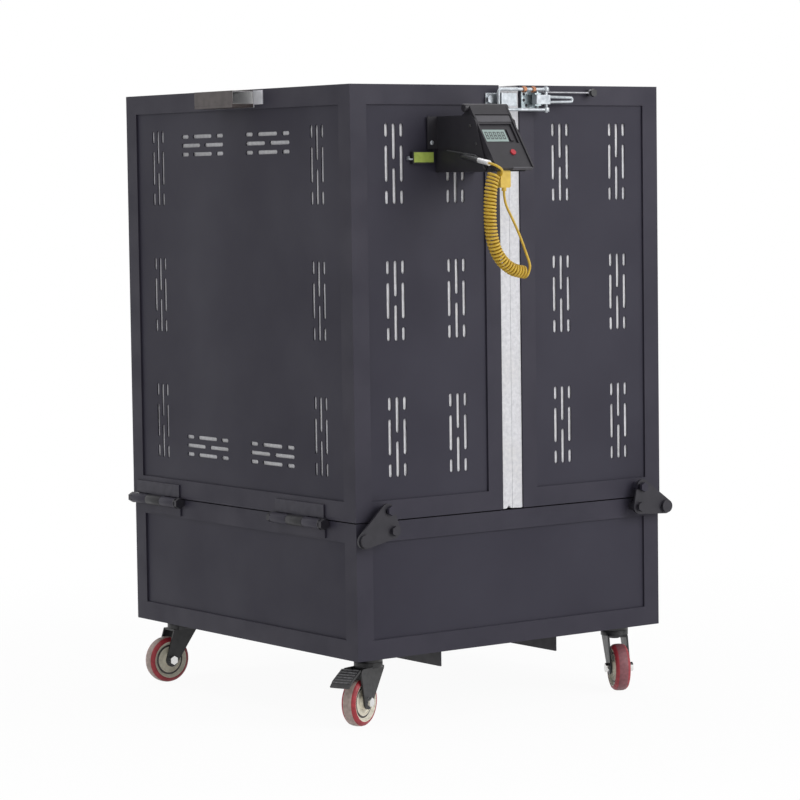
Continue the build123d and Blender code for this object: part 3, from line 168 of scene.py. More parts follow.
class Recipe:
    """The nodes of one material or of the world."""

    def __init__(self, owner: Material | bpy.types.World) -> None:
        """Empty the owner's node tree.

        Args:
            owner: The material or world.
        """
        self.owner = owner
        owner.use_nodes = True
        self.tree = owner.node_tree
        self.tree.nodes.clear()

    @classmethod
    def of_material(cls, name: str) -> "Recipe":
        """A recipe for a new material."""
        return cls(bpy.data.materials.new(name))

    def node(
        self,
        kind: str,
        settings: dict[str, object] | None = None,
        inputs: dict[int | str, object] | None = None,
        output: int | str = 0,
    ) -> Signal | None:
        """Add any node.

        Args:
            kind: The node's type.
            settings: Properties, set before the sockets.
            inputs: Values or signals of its sockets, by index or name.
            output: The output socket wanted.

        Returns:
            The signal of that output, or None from a node that has none.
        """
        made = self.tree.nodes.new(kind)
        for key, value in (settings or {}).items():
            setattr(made, key, value)
        for key, value in (inputs or {}).items():
            if isinstance(value, Signal):
                self.tree.links.new(value.socket, made.inputs[key])
            else:
                made.inputs[key].default_value = value
        return Signal(self, made.outputs[output]) if made.outputs else None

    def math(self, operation: str, *terms: Signal | float) -> Signal:
        """One Math node on these terms."""
        return self.node("ShaderNodeMath", {"operation": operation}, dict(enumerate(terms)))

    def vector(self, operation: str, *terms: Signal | Triple, output: str = "Vector") -> Signal:
        """One Vector Math node on these terms."""
        inputs = dict(enumerate(terms))
        return self.node("ShaderNodeVectorMath", {"operation": operation}, inputs, output)

    def place(self) -> Signal:
        """Position on the piece, in metres at rest."""
        return self.node("ShaderNodeTexCoord", output="Object")

    def away(self, plane: Measure) -> Signal:
        """Distance from the middle plane across X, Y or Z."""
        spot = self.node("ShaderNodeSeparateXYZ", None, {0: self.place()}, plane.value)
        return self.math("ABSOLUTE", spot)

    def seen(self) -> Signal:
        """Mark what the camera sees, plainly, mirrored or through glass.

        Returns:
            1 for such rays, else 0.
        """
        path = self.node("ShaderNodeLightPath").socket.node
        camera, glossy, through = (
            Signal(self, path.outputs[f"Is {ray} Ray"])
            for ray in ("Camera", "Glossy", "Transmission")
        )
        return self.math("MAXIMUM", self.math("MAXIMUM", camera, glossy), through)

    def round_axle(self, centre: Triple, axle: Triple) -> tuple[Signal, Signal]:
        """Distance from an axle, and from the plane across its middle.

        Args:
            centre: The axle's middle.
            axle: Its direction, one metre long.

        Returns:
            The radius and the offset along the axle, both positive.
        """
        away = self.vector("SUBTRACT", self.place(), centre)
        along = self.vector("DOT_PRODUCT", away, axle, output="Value")
        reach = self.vector("LENGTH", away, output="Value")
        return self.math("SQRT", reach * reach - along * along), self.math("ABSOLUTE", along)

    def noise(self, scale: float, detail: float = 3.0) -> Signal:
        """Noise from 0 to 1, with so many spots to the metre and octaves."""
        inputs = {"Vector": self.place(), "Scale": scale, "Detail": detail}
        return self.node("ShaderNodeTexNoise", None, inputs, "Fac")

    def clamp(self, value: Signal, low: float, high: float) -> Signal:
        """Map a value's range to 0 and 1, held at both ends."""
        inputs = {"Value": value, "From Min": low, "From Max": high}
        return self.node("ShaderNodeMapRange", {"clamp": True}, inputs)

    def mix(self, share: Signal, first: Signal | Colour, second: Signal | Colour) -> Signal:
        """Blend two colours.

        Args:
            share: 0 gives the first, 1 the second.
            first: A colour or signal.
            second: A colour or signal.

        Returns:
            The blended colour.
        """
        # 6, 7 and output 2 are the colour sockets of a Mix node.
        colours = {
            6: first if isinstance(first, Signal) else (*first, 1.0),
            7: second if isinstance(second, Signal) else (*second, 1.0),
        }
        return self.node("ShaderNodeMix", {"data_type": "RGBA"}, {0: share, **colours}, 2)

    def bump(self, height: Signal, depth: float) -> Signal:
        """Turn a height from 0 to 1 into a normal, with its relief in metres."""
        return self.node("ShaderNodeBump", None, {"Height": height, "Distance": depth}, "Normal")

    def mix_shaders(self, share: Signal, first: Signal, second: Signal, output: str) -> None:
        """Blend two shaders and close the tree with this output node."""
        both = self.node("ShaderNodeMixShader", None, {0: share, 1: first, 2: second})
        self.node(output, None, {"Surface": both})

    def finish(self, **sockets: object) -> Material:
        """Close the recipe with one Principled shader.

        Args:
            **sockets: Its sockets, with underscores for spaces.

        Returns:
            The material.
        """
        inputs = {key.replace("_", " "): value for key, value in sockets.items()}
        shader = self.node("ShaderNodeBsdfPrincipled", None, inputs)
        self.node("ShaderNodeOutputMaterial", None, {"Surface": shader})
        return self.owner


class Finish(Protocol):
    """Anything with a name that can make its material."""

    name: str

    def make(self) -> Material:
        """Build the material."""


@cache
def material_of(finish: Finish) -> Material:
    """The finish's material, made once."""
    return finish.make()


@dataclass(frozen=True)
class Coat:
    """Paint, plastic or plate with a mottled colour and a fine grain."""

    name: str
    tone: Colour
    shade: Colour
    roughness: float
    mottle: float = 14.0
    grain: float = 1500.0
    relief: float = 0.00003
    metal: float = 0.0
    swing: float = 0.12
    gloss_coat: float = 0.0
    gleam: float = 0.5
    mottle_range: Pair = (0.3, 0.7)

    def make(self) -> Material:
        """Build the material.

        Returns:
            The material.
        """
        recipe = Recipe.of_material(self.name)
        grain = recipe.noise(self.grain, detail=2.0)
        mottle = recipe.clamp(recipe.noise(self.mottle, detail=4.0), *self.mottle_range)
        return recipe.finish(
            Base_Color=recipe.mix(mottle, self.tone, self.shade),
            Metallic=self.metal,
            Roughness=self.roughness + (mottle - 0.5) * self.swing,
            Coat_Weight=self.gloss_coat,
            Specular_IOR_Level=self.gleam,
            Normal=recipe.bump(grain, self.relief),
        )


@dataclass(frozen=True)
class Zone:
    """Part of a piece with tones of its own, between limits in metres."""

    tones: Tones
    limits: Limits
    metal: float = 0.0
    smoother: float = 0.0


@dataclass(frozen=True, kw_only=True)
class Zoned:
    """Finish with zones, all mottled by marks that also roughen it."""

    name: str
    tones: Tones
    zones: tuple[Zone, ...]
    mark_scale: float
    mark_range: Pair = (0.3, 0.7)
    smooth: float
    rougher: float
    relief: float
    grain: float = 0.0
    metal: float = 0.0
    gleam: float = 0.5
    centre: Triple = (0.0, 0.0, 0.0)
    axle: Triple = (0.0, 0.0, 1.0)

    def measures(self, recipe: Recipe) -> dict[Measure, Signal]:
        """Set up what the zones are limited by.

        Args:
            recipe: The recipe under way.

        Returns:
            The signal of each measure that a zone asks for.
        """
        wanted = {limit[0] for zone in self.zones for limit in zone.limits}
        planes = [plane for plane in (Measure.X, Measure.Y, Measure.Z) if plane in wanted]
        found = {plane: recipe.away(plane) for plane in planes}
        if Measure.RADIUS in wanted:
            radius, offset = recipe.round_axle(self.centre, self.axle)
            found |= {Measure.RADIUS: radius, Measure.OFFSET: offset}
        return found

    def make(self) -> Material:
        """Build the material.

        Returns:
            The material.
        """
        recipe = Recipe.of_material(self.name)
        marks = recipe.clamp(recipe.noise(self.mark_scale, detail=5.0), *self.mark_range)
        measures = self.measures(recipe)
        colour = recipe.mix(marks, *self.tones)
        metal: Signal | float = self.metal
        roughness = self.smooth + marks * self.rougher
        for zone in self.zones:
            inside = math.prod(measures[kind].between(*ends) for kind, *ends in zone.limits)
            colour = recipe.mix(inside, colour, recipe.mix(marks, *zone.tones))
            if zone.metal != self.metal:
                metal = metal + inside * (zone.metal - self.metal)
            if zone.smoother:
                roughness = roughness - inside * zone.smoother
        height = recipe.noise(self.grain, detail=2.0) if self.grain else marks
        return recipe.finish(
            Base_Color=colour,
            Metallic=metal,
            Roughness=roughness,
            Specular_IOR_Level=self.gleam,
            Normal=recipe.bump(height, self.relief),
        )


@dataclass(frozen=True)
class Fibre:
    """Felted ceramic fibre with tufts and faint scorching, darkened in its dips as painted shade.
    """

    name: str
    tone: Colour = (0.80, 0.80, 0.83)
    scorched: Colour = (0.76, 0.75, 0.75)
    shade: Colour = (0.64, 0.64, 0.67)
    scale: float = 160.0
    strand_scale: float = 1440.0
    cloud_scale: float = 18.0
    strand_share: float = 0.3
    cloud_range: Pair = (0.4, 0.75)
    depth_range: Pair = (0.35, 0.62)
    roughness: float = 0.95
    gleam: float = 0.1
    relief: float = 0.0007

    def make(self) -> Material:
        """Build the material.

        Returns:
            The material.
        """
        recipe = Recipe.of_material(self.name)
        tufts, strands = recipe.noise(self.scale, detail=6.0), recipe.noise(self.strand_scale)
        height = tufts * (1 - self.strand_share) + strands * self.strand_share
        cloud = recipe.clamp(recipe.noise(self.cloud_scale, detail=4.0), *self.cloud_range)
        warm = recipe.mix(cloud, self.tone, self.scorched)
        return recipe.finish(
            # Where the surface dips the colour turns to the shade tone: painted shade in the
            # hollows.
            Base_Color=recipe.mix(recipe.clamp(height, *self.depth_range), self.shade, warm),
            Roughness=self.roughness,
            Specular_IOR_Level=self.gleam,
            Normal=recipe.bump(height, self.relief),
        )


PAINT: Tones = ((0.036, 0.033, 0.049), (0.029, 0.027, 0.041))
TAUPE: Tones = ((0.50, 0.39, 0.35), (0.36, 0.2808, 0.252))
MAROON: Tones = ((0.27, 0.095, 0.11), (0.1944, 0.0684, 0.0792))

# Name, tone, shade, roughness, mottles and grains to the metre, and relief in metres.
ANTHRACITE = Coat("anthracite_frame", *PAINT, 0.52, gleam=0.25)
ANTHRACITE_SHEET = Coat(
    "anthracite_sheet", (0.033, 0.031, 0.047), (0.027, 0.025, 0.039), 0.56, 6, gleam=0.25
)
DARK_STEEL = Coat(
    "dark_steel", (0.030, 0.028, 0.036), (0.020, 0.019, 0.025), 0.42, 60, gleam=0.35
)
GALVANISED = Coat("galvanised", (0.50, 0.53, 0.56), (0.33, 0.36, 0.39), 0.40, 160, metal=0.6)
COPPER = Coat("copper", (0.50, 0.22, 0.11), (0.30, 0.13, 0.07), 0.42, 90, metal=0.6)
METER_SHEET = Coat(
    "meter_sheet", (0.030, 0.028, 0.034), (0.022, 0.021, 0.026), 0.46, 20, gleam=0.35
)
# Lip lighter than the tray's dark sheet: a painted highlight along its upper edge.
TRAY_LIP_HIGHLIGHT = Coat("tray_lip", (0.090, 0.090, 0.098), (0.065, 0.065, 0.072), 0.40, 60)
BARE_TAG = Coat("bare_tag", (0.42, 0.52, 0.10), (0.33, 0.43, 0.08), 0.5, 160)
DIGIT = Coat("digit_segments", (0.030, 0.036, 0.036), (0.020, 0.026, 0.026), 0.4, 200)
PIPE_STEEL = Coat("pipe_steel", (0.34, 0.34, 0.35), (0.24, 0.24, 0.25), 0.45, 40, metal=0.8)
BRASS = Coat("brass", (0.62, 0.44, 0.18), (0.48, 0.33, 0.13), 0.32, 80, metal=1.0)
CAST_IRON = Coat(
    "cast_iron", (0.10, 0.095, 0.09), (0.06, 0.057, 0.055), 0.75, 60, 600, 0.0003
)
BLACK_PLASTIC = Coat(
    "black_plastic", (0.020, 0.019, 0.022), (0.014, 0.013, 0.016), 0.44, 30, 2600
)
CASTER_BLACK = Coat("caster_black", (0.016, 0.016, 0.018), (0.010, 0.010, 0.012), 0.36, 50)
RIBBED_BLACK = Coat("brake_black", (0.022, 0.022, 0.024), (0.012, 0.012, 0.014), 0.5, 70)
STAY_WIRE = Coat("stay_wire", (0.30, 0.30, 0.32), (0.20, 0.20, 0.22), 0.34, 90, metal=0.7)
RED_PLASTIC = Coat("red_plastic", (0.50, 0.03, 0.045), (0.40, 0.02, 0.035), 0.35, 90)
CORD_SKIN = Coat("cord_skin", (0.68, 0.455, 0.045), (0.54, 0.34, 0.03), 0.42, 120)
PLUG_SKIN = Coat("plug_skin", (0.74, 0.51, 0.07), (0.64, 0.42, 0.05), 0.38, 120)
KILN_WARE = Coat("kiln_ware", (0.60, 0.52, 0.41), (0.47, 0.40, 0.31), 0.85, 25, 900, 0.0002)
BOARD = Coat("fibre_board", (0.70, 0.67, 0.60), (0.58, 0.55, 0.49), 0.92, 35, 1200, 0.0003)
DISPLAY = Coat(
    "display", (0.30, 0.39, 0.37), (0.26, 0.35, 0.33), 0.16, 20, gloss_coat=0.6
)
METER_PLASTIC = Coat(
    "meter_plastic", (0.026, 0.024, 0.030), (0.019, 0.018, 0.022), 0.42, 40, 2400, gleam=0.4
)
METER_BAND = Coat(
    "meter_band", (0.075, 0.072, 0.082), (0.055, 0.053, 0.062), 0.40, 60, 2400
)
RIB_WEAR = Coat("pedal_rib_wear", (0.16, 0.16, 0.17), (0.030, 0.030, 0.033), 0.45, 260)
LINING = Fibre("ceramic_fibre")
# Bar socket: brownish paint outside, bare inside, plated at its back. The bare inside is near
# white and not metal: bare steel, brightened by painted light against its shade.
HANDLE_STEEL = Zoned(
    name="handle_steel", mark_scale=70, smooth=0.34, rougher=0.14, relief=0.00003, grain=1500,
    tones=((0.088, 0.070, 0.068), (0.058, 0.047, 0.046)),
    zones=(
        # Bare inside, near white without metal: partly its bright steel, partly painted light that
        # lifts its shade.
        Zone(
            ((0.90, 0.90, 0.90), (0.72, 0.72, 0.73)),
            ((Measure.X, 0.3030, 0.3398), (Measure.Z, 0.9418, 0.9607)),
        ),
        Zone(((0.86, 0.86, 0.90), (0.66, 0.67, 0.71)), ((Measure.X, -FAR, 0.3022),), 0.3),
    ),
)
# Leaves in the body's paint, with dark barrels farther out.
HINGE_STEEL = Zoned(
    name="hinge_steel", mark_scale=90, smooth=0.40, rougher=0.12, relief=0.00004, gleam=0.3,
    tones=PAINT,
    zones=(Zone(((0.020, 0.019, 0.023), (0.012, 0.012, 0.014)), ((Measure.X, 0.3028, FAR),)),),
)
# Tube darkened as painted shadow, with a bright sleeve at its front end.
PROBE_STEEL = Zoned(
    name="probe_steel", mark_scale=220, smooth=0.34, rougher=0.12, relief=0.00003, metal=0.45,
    # These dark tones of the tube behind the sleeve are a painted shadow.
    tones=((0.10, 0.10, 0.105), (0.055, 0.055, 0.058)),
    zones=(Zone(((0.86, 0.86, 0.86), (0.70, 0.70, 0.71)), ((Measure.Y, 0.4235, FAR),), 0.45),),
)
# Zinc plate, with the black bolt of the stay rod farther out.
LATCH_ZINC = Zoned(
    name="latch_zinc", mark_scale=240, mark_range=(0.35, 0.65), smooth=0.30, rougher=0.16,
    relief=0.00005, metal=0.7, tones=((0.50, 0.56, 0.58), (0.22, 0.28, 0.30)),
    zones=(Zone(((0.020, 0.020, 0.023), (0.012, 0.012, 0.014)), ((Measure.X, 0.14, FAR),)),),
)
# Black fork of a caster, with bright ends on its axle bolt.
FORK_BLACK = Zoned(
    name="fork", mark_scale=120, mark_range=(0.35, 0.7), smooth=0.36, rougher=0.1,
    relief=0.00004, tones=((0.018, 0.018, 0.020), (0.010, 0.010, 0.012)),
    zones=(
        Zone(
            ((0.74, 0.74, 0.73), (0.74, 0.74, 0.73)),
            ((Measure.RADIUS, -FAR, 0.0085), (Measure.OFFSET, 0.0168, FAR)), 0.95, 0.16,
        ),
    ),
)
# Cream wheel with a dark ring and a red one. Each caster adds its tread.
RINGED_WHEEL = Zoned(
    name="wheel", mark_scale=180, mark_range=(0.35, 0.7), smooth=0.42, rougher=0.18,
    relief=0.00012, tones=((0.92, 0.88, 0.74), (0.76, 0.71, 0.58)),
    zones=(
        Zone(((0.060, 0.050, 0.048), (0.035, 0.030, 0.030)), ((Measure.RADIUS, 0.0215, 0.0245),)),
        Zone(((0.44, 0.03, 0.045), (0.27, 0.025, 0.035)), ((Measure.RADIUS, 0.0300, FAR),)),
    ),
)
TREAD_LIMITS: Limits = ((Measure.RADIUS, 0.0355, FAR), (Measure.OFFSET, -FAR, 0.0072))

# The nodes of each finish, by whole names or by the last words of names that recur.
NODE_FINISHES: dict[str, Finish] = {
    name: finish
    for finish, names in (
        (ANTHRACITE, "base_frame base_cross_bars base_hinge_leaves frame"),
        (ANTHRACITE_SHEET, "base_panels roof"),
        (PIPE_STEEL, "base_floor_plate gas_manifold"),
        (BOARD, "floor_boards"),
        (KILN_WARE, "kiln_posts kiln_shelf"),
        (DARK_STEEL, "under_base_bearers pivot_bolts catch_left catch_right"),
        (CAST_IRON, "burner_tubes"),
        (BRASS, "gas_valve_body flame_valve_body gas_inlet"),
        (CASTER_BLACK, "caster_plates"),
        (RED_PLASTIC, "gas_valve_lever meter_button"),
        (BLACK_PLASTIC, "flame_valve_button"),
        (GALVANISED, "latch_keeper latch_lever latch_loop"),
        (LATCH_ZINC, "latch_base"),
        (STAY_WIRE, "latch_stay_rod"),
        (METER_SHEET, "meter_bracket"),
        (PROBE_STEEL, "thermocouple_probe"),
        (PLUG_SKIN, "cord_plug"),
        (HINGE_STEEL, "hinge_leaves"),
        (HANDLE_STEEL, "handle"),
        (RIBBED_BLACK, "pedal"),
    )
    for name in names.split()
}


def add_object(name: str, data: bpy.types.ID) -> Object:
    """Put data into the scene.

    Args:
        name: The object's name.
        data: Its mesh, curve, lamp or camera.

    Returns:
        The object.
    """
    made = bpy.data.objects.new(name, data)
    bpy.context.scene.collection.objects.link(made)
    return made


def as_mesh(name: str, shape: BMesh) -> bpy.types.Mesh:
    """Turn a mesh under way into mesh data.

    Args:
        name: The data's name.
        shape: The mesh under way. It is freed.

    Returns:
        The mesh data.
    """
    mesh = bpy.data.meshes.new(name)
    shape.to_mesh(mesh)
    shape.free()
    return mesh


def curve_mesh(curve: Object) -> bpy.types.Mesh:
    """Read a curve's mesh and remove the curve.

    Args:
        curve: The curve object.

    Returns:
        Its mesh data.
    """
    bpy.context.view_layer.update()
    mesh = bpy.data.meshes.new_from_object(curve)
    data = curve.data
    bpy.data.objects.remove(curve)
    bpy.data.curves.remove(data)
    return mesh


def soften_edges(piece: Object, width: float) -> None:
    """Round a piece's sharp edges a little.

    Args:
        piece: The piece.
        width: Width of the rounding in millimetres.
    """
    bevel = piece.modifiers.new("bevel", "BEVEL")
    bevel.width = width * MM
    bevel.segments = 2
    bevel.limit_method = "ANGLE"
    bevel.angle_limit = ROUND_ABOVE


def seat(
    name: str,
    shape: BMesh,
    finish: Finish,
    body: str,
    bevel: float = 0.0,
    smooth: bool = True,
) -> Object:
    """Turn a mesh into a piece that rides on a body.

    Args:
        name: The piece's name.
        shape: The mesh in metres. It is freed.
        finish: Its finish.
        body: The body it rides on.
        bevel: Width of its rounded edges in millimetres, if any.
        smooth: Whether round faces are shaded smooth.

    Returns:
        The piece.
    """
    bmesh.ops.recalc_face_normals(shape, faces=shape.faces)
    piece = add_object(name, as_mesh(name, shape))
    piece.data.materials.append(material_of(finish))
    if smooth:
        piece.data.shade_smooth()
        piece.data.set_sharp_from_angle(angle=SMOOTH_BELOW)
    if bevel:
        soften_edges(piece, bevel)
    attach(piece, body)
    return piece


def join_into(joined: BMesh, shape: BMesh) -> None:
    """Add one mesh to another.

    Args:
        joined: The mesh that grows.
        shape: The mesh that is added. It is freed.
    """
    mesh = as_mesh("part", shape)
    joined.from_mesh(mesh)
    bpy.data.meshes.remove(mesh)


def turned(profile: Sequence[Pair], place: Matrix, steps: int) -> BMesh:
    """Turn a profile about the local Z axis.

    Args:
        profile: Radius and height pairs in millimetres, from one end to the other.
        place: Where the local frame stands.
        steps: Segments round the axis.

    Returns:
        The mesh.
    """
    shape = bmesh.new()
    rings = []
    for radius, height in profile:
        turns = [2 * math.pi * step / steps for step in range(steps)] if radius > 0 else [0.0]
        rings.append([
            shape.verts.new(
                place @ (Vector((radius * math.cos(turn), radius * math.sin(turn), height)) * MM)
            )
            for turn in turns
        ])
    for low, high in zip(rings, rings[1:]):
        for step in range(steps):
            corners = [ring[near % len(ring)] for ring, near in (
                (low, step), (low, (step + 1) % steps), (high, (step + 1) % steps), (high, step)
            )]
            unique = list(dict.fromkeys(corners))
            if len(unique) > 2:
                shape.faces.new(unique)
    return shape


def heads(
    profile: Sequence[Pair], spots: Iterable[Triple], turn: Matrix, steps: int
) -> BMesh:
    """The same turned head at several spots.

    Args:
        profile: The head's profile in millimetres.
        spots: Where the heads sit, in millimetres.
        turn: The way they point.
        steps: Segments round each.

    Returns:
        The mesh.
    """
    joined = bmesh.new()
    for spot in spots:
        place = Matrix.Translation(Vector(spot) * MM) @ turn
        join_into(joined, turned(profile, place, steps))
    return joined


def slab(low: Vector, high: Vector, cell: float) -> BMesh:
    """A box whose faces are divided into cells of about one size.

    Args:
        low: Lowest corner.
        high: Highest corner.
        cell: Size of a cell.

    Returns:
        The mesh.
    """
    shape = bmesh.new()
    size = high - low
    counts = [max(1, round(length / cell)) for length in size]
    found: dict[tuple[int, ...], bmesh.types.BMVert] = {}
    for axis, (across, along) in enumerate(((1, 2), (0, 2), (0, 1))):
        cells = product((0, counts[axis]), range(counts[across]), range(counts[along]))
        for end, first, second in cells:
            corners = []
            for shift_a, shift_b in ((0, 0), (1, 0), (1, 1), (0, 1)):
                index = [0, 0, 0]
                index[axis], index[across], index[along] = end, first + shift_a, second + shift_b
                key = tuple(index)
                if key not in found:
                    share = [key[way] / counts[way] * size[way] for way in range(3)]
                    found[key] = shape.verts.new(low + Vector(share))
                corners.append(found[key])
            shape.faces.new(corners)
    return shape


def prism(shape: BMesh, outline: Sequence[Vector], way: Vector) -> None:
    """Add a closed block from a flat outline and the way it is drawn out.

    Args:
        shape: The mesh it is added to.
        outline: Corners of one end, in metres.
        way: From one end to the other.
    """
    first = [shape.verts.new(corner) for corner in outline]
    last = [shape.verts.new(corner + way) for corner in outline]
    shape.faces.new(list(reversed(first)))
    shape.faces.new(last)
    for index, corner in enumerate(first):
        after = (index + 1) % len(first)
        shape.faces.new([corner, first[after], last[after], last[index]])


def block(shape: BMesh, place: Matrix, low: Sequence[float], high: Sequence[float]) -> None:
    """Add a block from its corners in millimetres in a local frame.

    Args:
        shape: The mesh it is added to.
        place: The local frame.
        low: Lowest corner.
        high: Highest corner.
    """
    ends = [(low[0], low[1]), (high[0], low[1]), (high[0], high[1]), (low[0], high[1])]
    outline = [place @ (Vector((x, y, low[2])) * MM) for x, y in ends]
    prism(shape, outline, place.to_3x3() @ Vector((0, 0, (high[2] - low[2]) * MM)))


def blocks(place: Matrix, boxes: Iterable[Corners]) -> BMesh:
    """Several blocks in one local frame.

    Args:
        place: The local frame.
        boxes: Lowest and highest corner of each, in millimetres.

    Returns:
        The mesh.
    """
    shape = bmesh.new()
    for low, high in boxes:
        block(shape, place, low, high)
    return shape


def ring_outline(x: float, y: float, radius: float, steps: int = 32) -> list[Vector]:
    """Outline of a round hole.

    Args:
        x: Its middle across, in millimetres.
        y: Its middle along, in millimetres.
        radius: Its radius in millimetres.
        steps: Corners round it.

    Returns:
        The corners, in metres.
    """
    turns = [2 * math.pi * step / steps for step in range(steps)]
    return [
        Vector((x + radius * math.cos(turn), y + radius * math.sin(turn), 0)) * MM
        for turn in turns
    ]


def edge_outline(low_x: float, high_x: float, low_y: float, high_y: float) -> list[Vector]:
    """Outline of a rectangle."""
    corners = ((low_x, low_y), (high_x, low_y), (high_x, high_y), (low_x, high_y))
    return [Vector((*corner, 0)) for corner in corners]


def cut_sheet(outlines: list[list[Vector]], place: Matrix, thickness: float) -> BMesh:
    """Fill an outline with holes and give it a thickness.

    Args:
        outlines: The edge first, then the holes, in metres.
        place: Where the sheet's middle plane stands.
        thickness: Thickness in millimetres.

    Returns:
        The mesh.
    """
    data = bpy.data.curves.new("sheet_outline", "CURVE")
    data.dimensions = "2D"
    data.fill_mode = "BOTH"
    data.extrude = thickness / 2 * MM
    for outline in outlines:
        line = data.splines.new("POLY")
        line.points.add(len(outline) - 1)
        for point, corner in zip(line.points, outline):
            point.co = (*corner, 1.0)
        line.use_cyclic_u = True
    mesh = curve_mesh(add_object("sheet_outline", data))
    shape = bmesh.new()
    shape.from_mesh(mesh)
    bpy.data.meshes.remove(mesh)
    bmesh.ops.remove_doubles(shape, verts=shape.verts, dist=SAME_POINT)
    bmesh.ops.transform(shape, matrix=place, verts=shape.verts)
    return shape


def quarter_turn(axis: Axis, turns: int = 1) -> Matrix:
    """Rotation by right angles about an axis."""
    return Matrix.Rotation(math.radians(90 * turns), 4, axis.value)


@dataclass
class Studio:
    """Camera at the photograph's angle, plain floor and soft light."""

    lens: float = 134.9
    sight: float = 100.0
    spot: Triple = (-2.878, -3.921, 0.817)
    heading: float = 36.443
    dip: float = 4.139
    roll: float = 0.787
    floor_size: float = 60.0
    floor_tone: Colour = (0.90, 0.90, 0.90)
    floor_glow: float = 0.95
    shadow_reach: float = 0.8
    world_strength: float = 0.45
    aim: Triple = (0.0, 0.0, 0.5)
    # Name, place, side in metres and watts of each lamp.
    lamps: tuple[tuple[str, Triple, float, float], ...] = (
        ("front_lamp", (1.6, -3.6, 2.2), 2.4, 80.0),
        ("left_lamp", (-3.8, 0.2, 1.8), 2.4, 4.0),
        ("top_lamp", (0.0, 0.4, 3.4), 2.0, 40.0),
    )

    def set_camera(self) -> None:
        """Make the camera."""
        data = bpy.data.cameras.new("camera")
        data.lens = self.lens
        data.clip_end = self.sight
        camera = add_object("camera", data)
        yaw, pitch, roll = map(math.radians, (self.heading, self.dip, self.roll))
        forward = Vector((
            math.sin(yaw) * math.cos(pitch), math.cos(yaw) * math.cos(pitch), -math.sin(pitch)
        ))
        level = Vector((math.cos(yaw), -math.sin(yaw), 0.0))
        above = level.cross(forward)
        right = level * math.cos(roll) - above * math.sin(roll)
        up = level * math.sin(roll) + above * math.cos(roll)
        turn = Matrix((right, up, -forward)).transposed()
        camera.matrix_world = Matrix.Translation(self.spot) @ turn.to_4x4()
        bpy.context.scene.camera = camera

    def lay_floor(self) -> None:
        """Make the pale floor, which shows white and keeps a faint shadow."""
        recipe = Recipe.of_material("floor")
        diffuse = recipe.node("ShaderNodeBsdfDiffuse", None, {"Color": (*self.floor_tone, 1.0)})
        glow = recipe.node("ShaderNodeEmission", None, {"Color": WHITE})
        reach = recipe.vector("LENGTH", recipe.place(), output="Value")
        far = recipe.clamp(reach, self.shadow_reach, 2 * self.shadow_reach)
        share = recipe.seen() * (self.floor_glow + far * (1 - self.floor_glow))
        recipe.mix_shaders(share, diffuse, glow, "ShaderNodeOutputMaterial")
        half = self.floor_size / 2
        shape = bmesh.new()
        shape.faces.new([shape.verts.new(spot) for spot in edge_outline(-half, half, -half, half)])
        floor = add_object("floor", as_mesh("floor", shape))
        floor.data.materials.append(recipe.owner)

    def set_world(self) -> None:
        """Soft even light all round, white where it is seen or mirrored."""
        bpy.context.scene.world = bpy.data.worlds.new("studio")
        recipe = Recipe(bpy.context.scene.world)
        plain, white = (
            recipe.node("ShaderNodeBackground", None, {"Color": WHITE, "Strength": strength})
            for strength in (self.world_strength, 1.0)
        )
        recipe.mix_shaders(recipe.seen(), plain, white, "ShaderNodeOutputWorld")

    def hang_lamps(self) -> None:
        """Hang the square lamps, all aimed at the kiln's middle."""
        for name, spot, size, power in self.lamps:
            data = bpy.data.lights.new(name, "AREA")
            data.size = size
            data.energy = power
            turn = (Vector(self.aim) - Vector(spot)).to_track_quat("-Z", "Y").to_matrix()
            add_object(name, data).matrix_world = Matrix.Translation(spot) @ turn.to_4x4()

    def build(self) -> None:
        """Make the studio."""
        self.set_camera()
        self.lay_floor()
        self.set_world()
        self.hang_lamps()
        bpy.context.scene.view_settings.view_transform = "Standard"


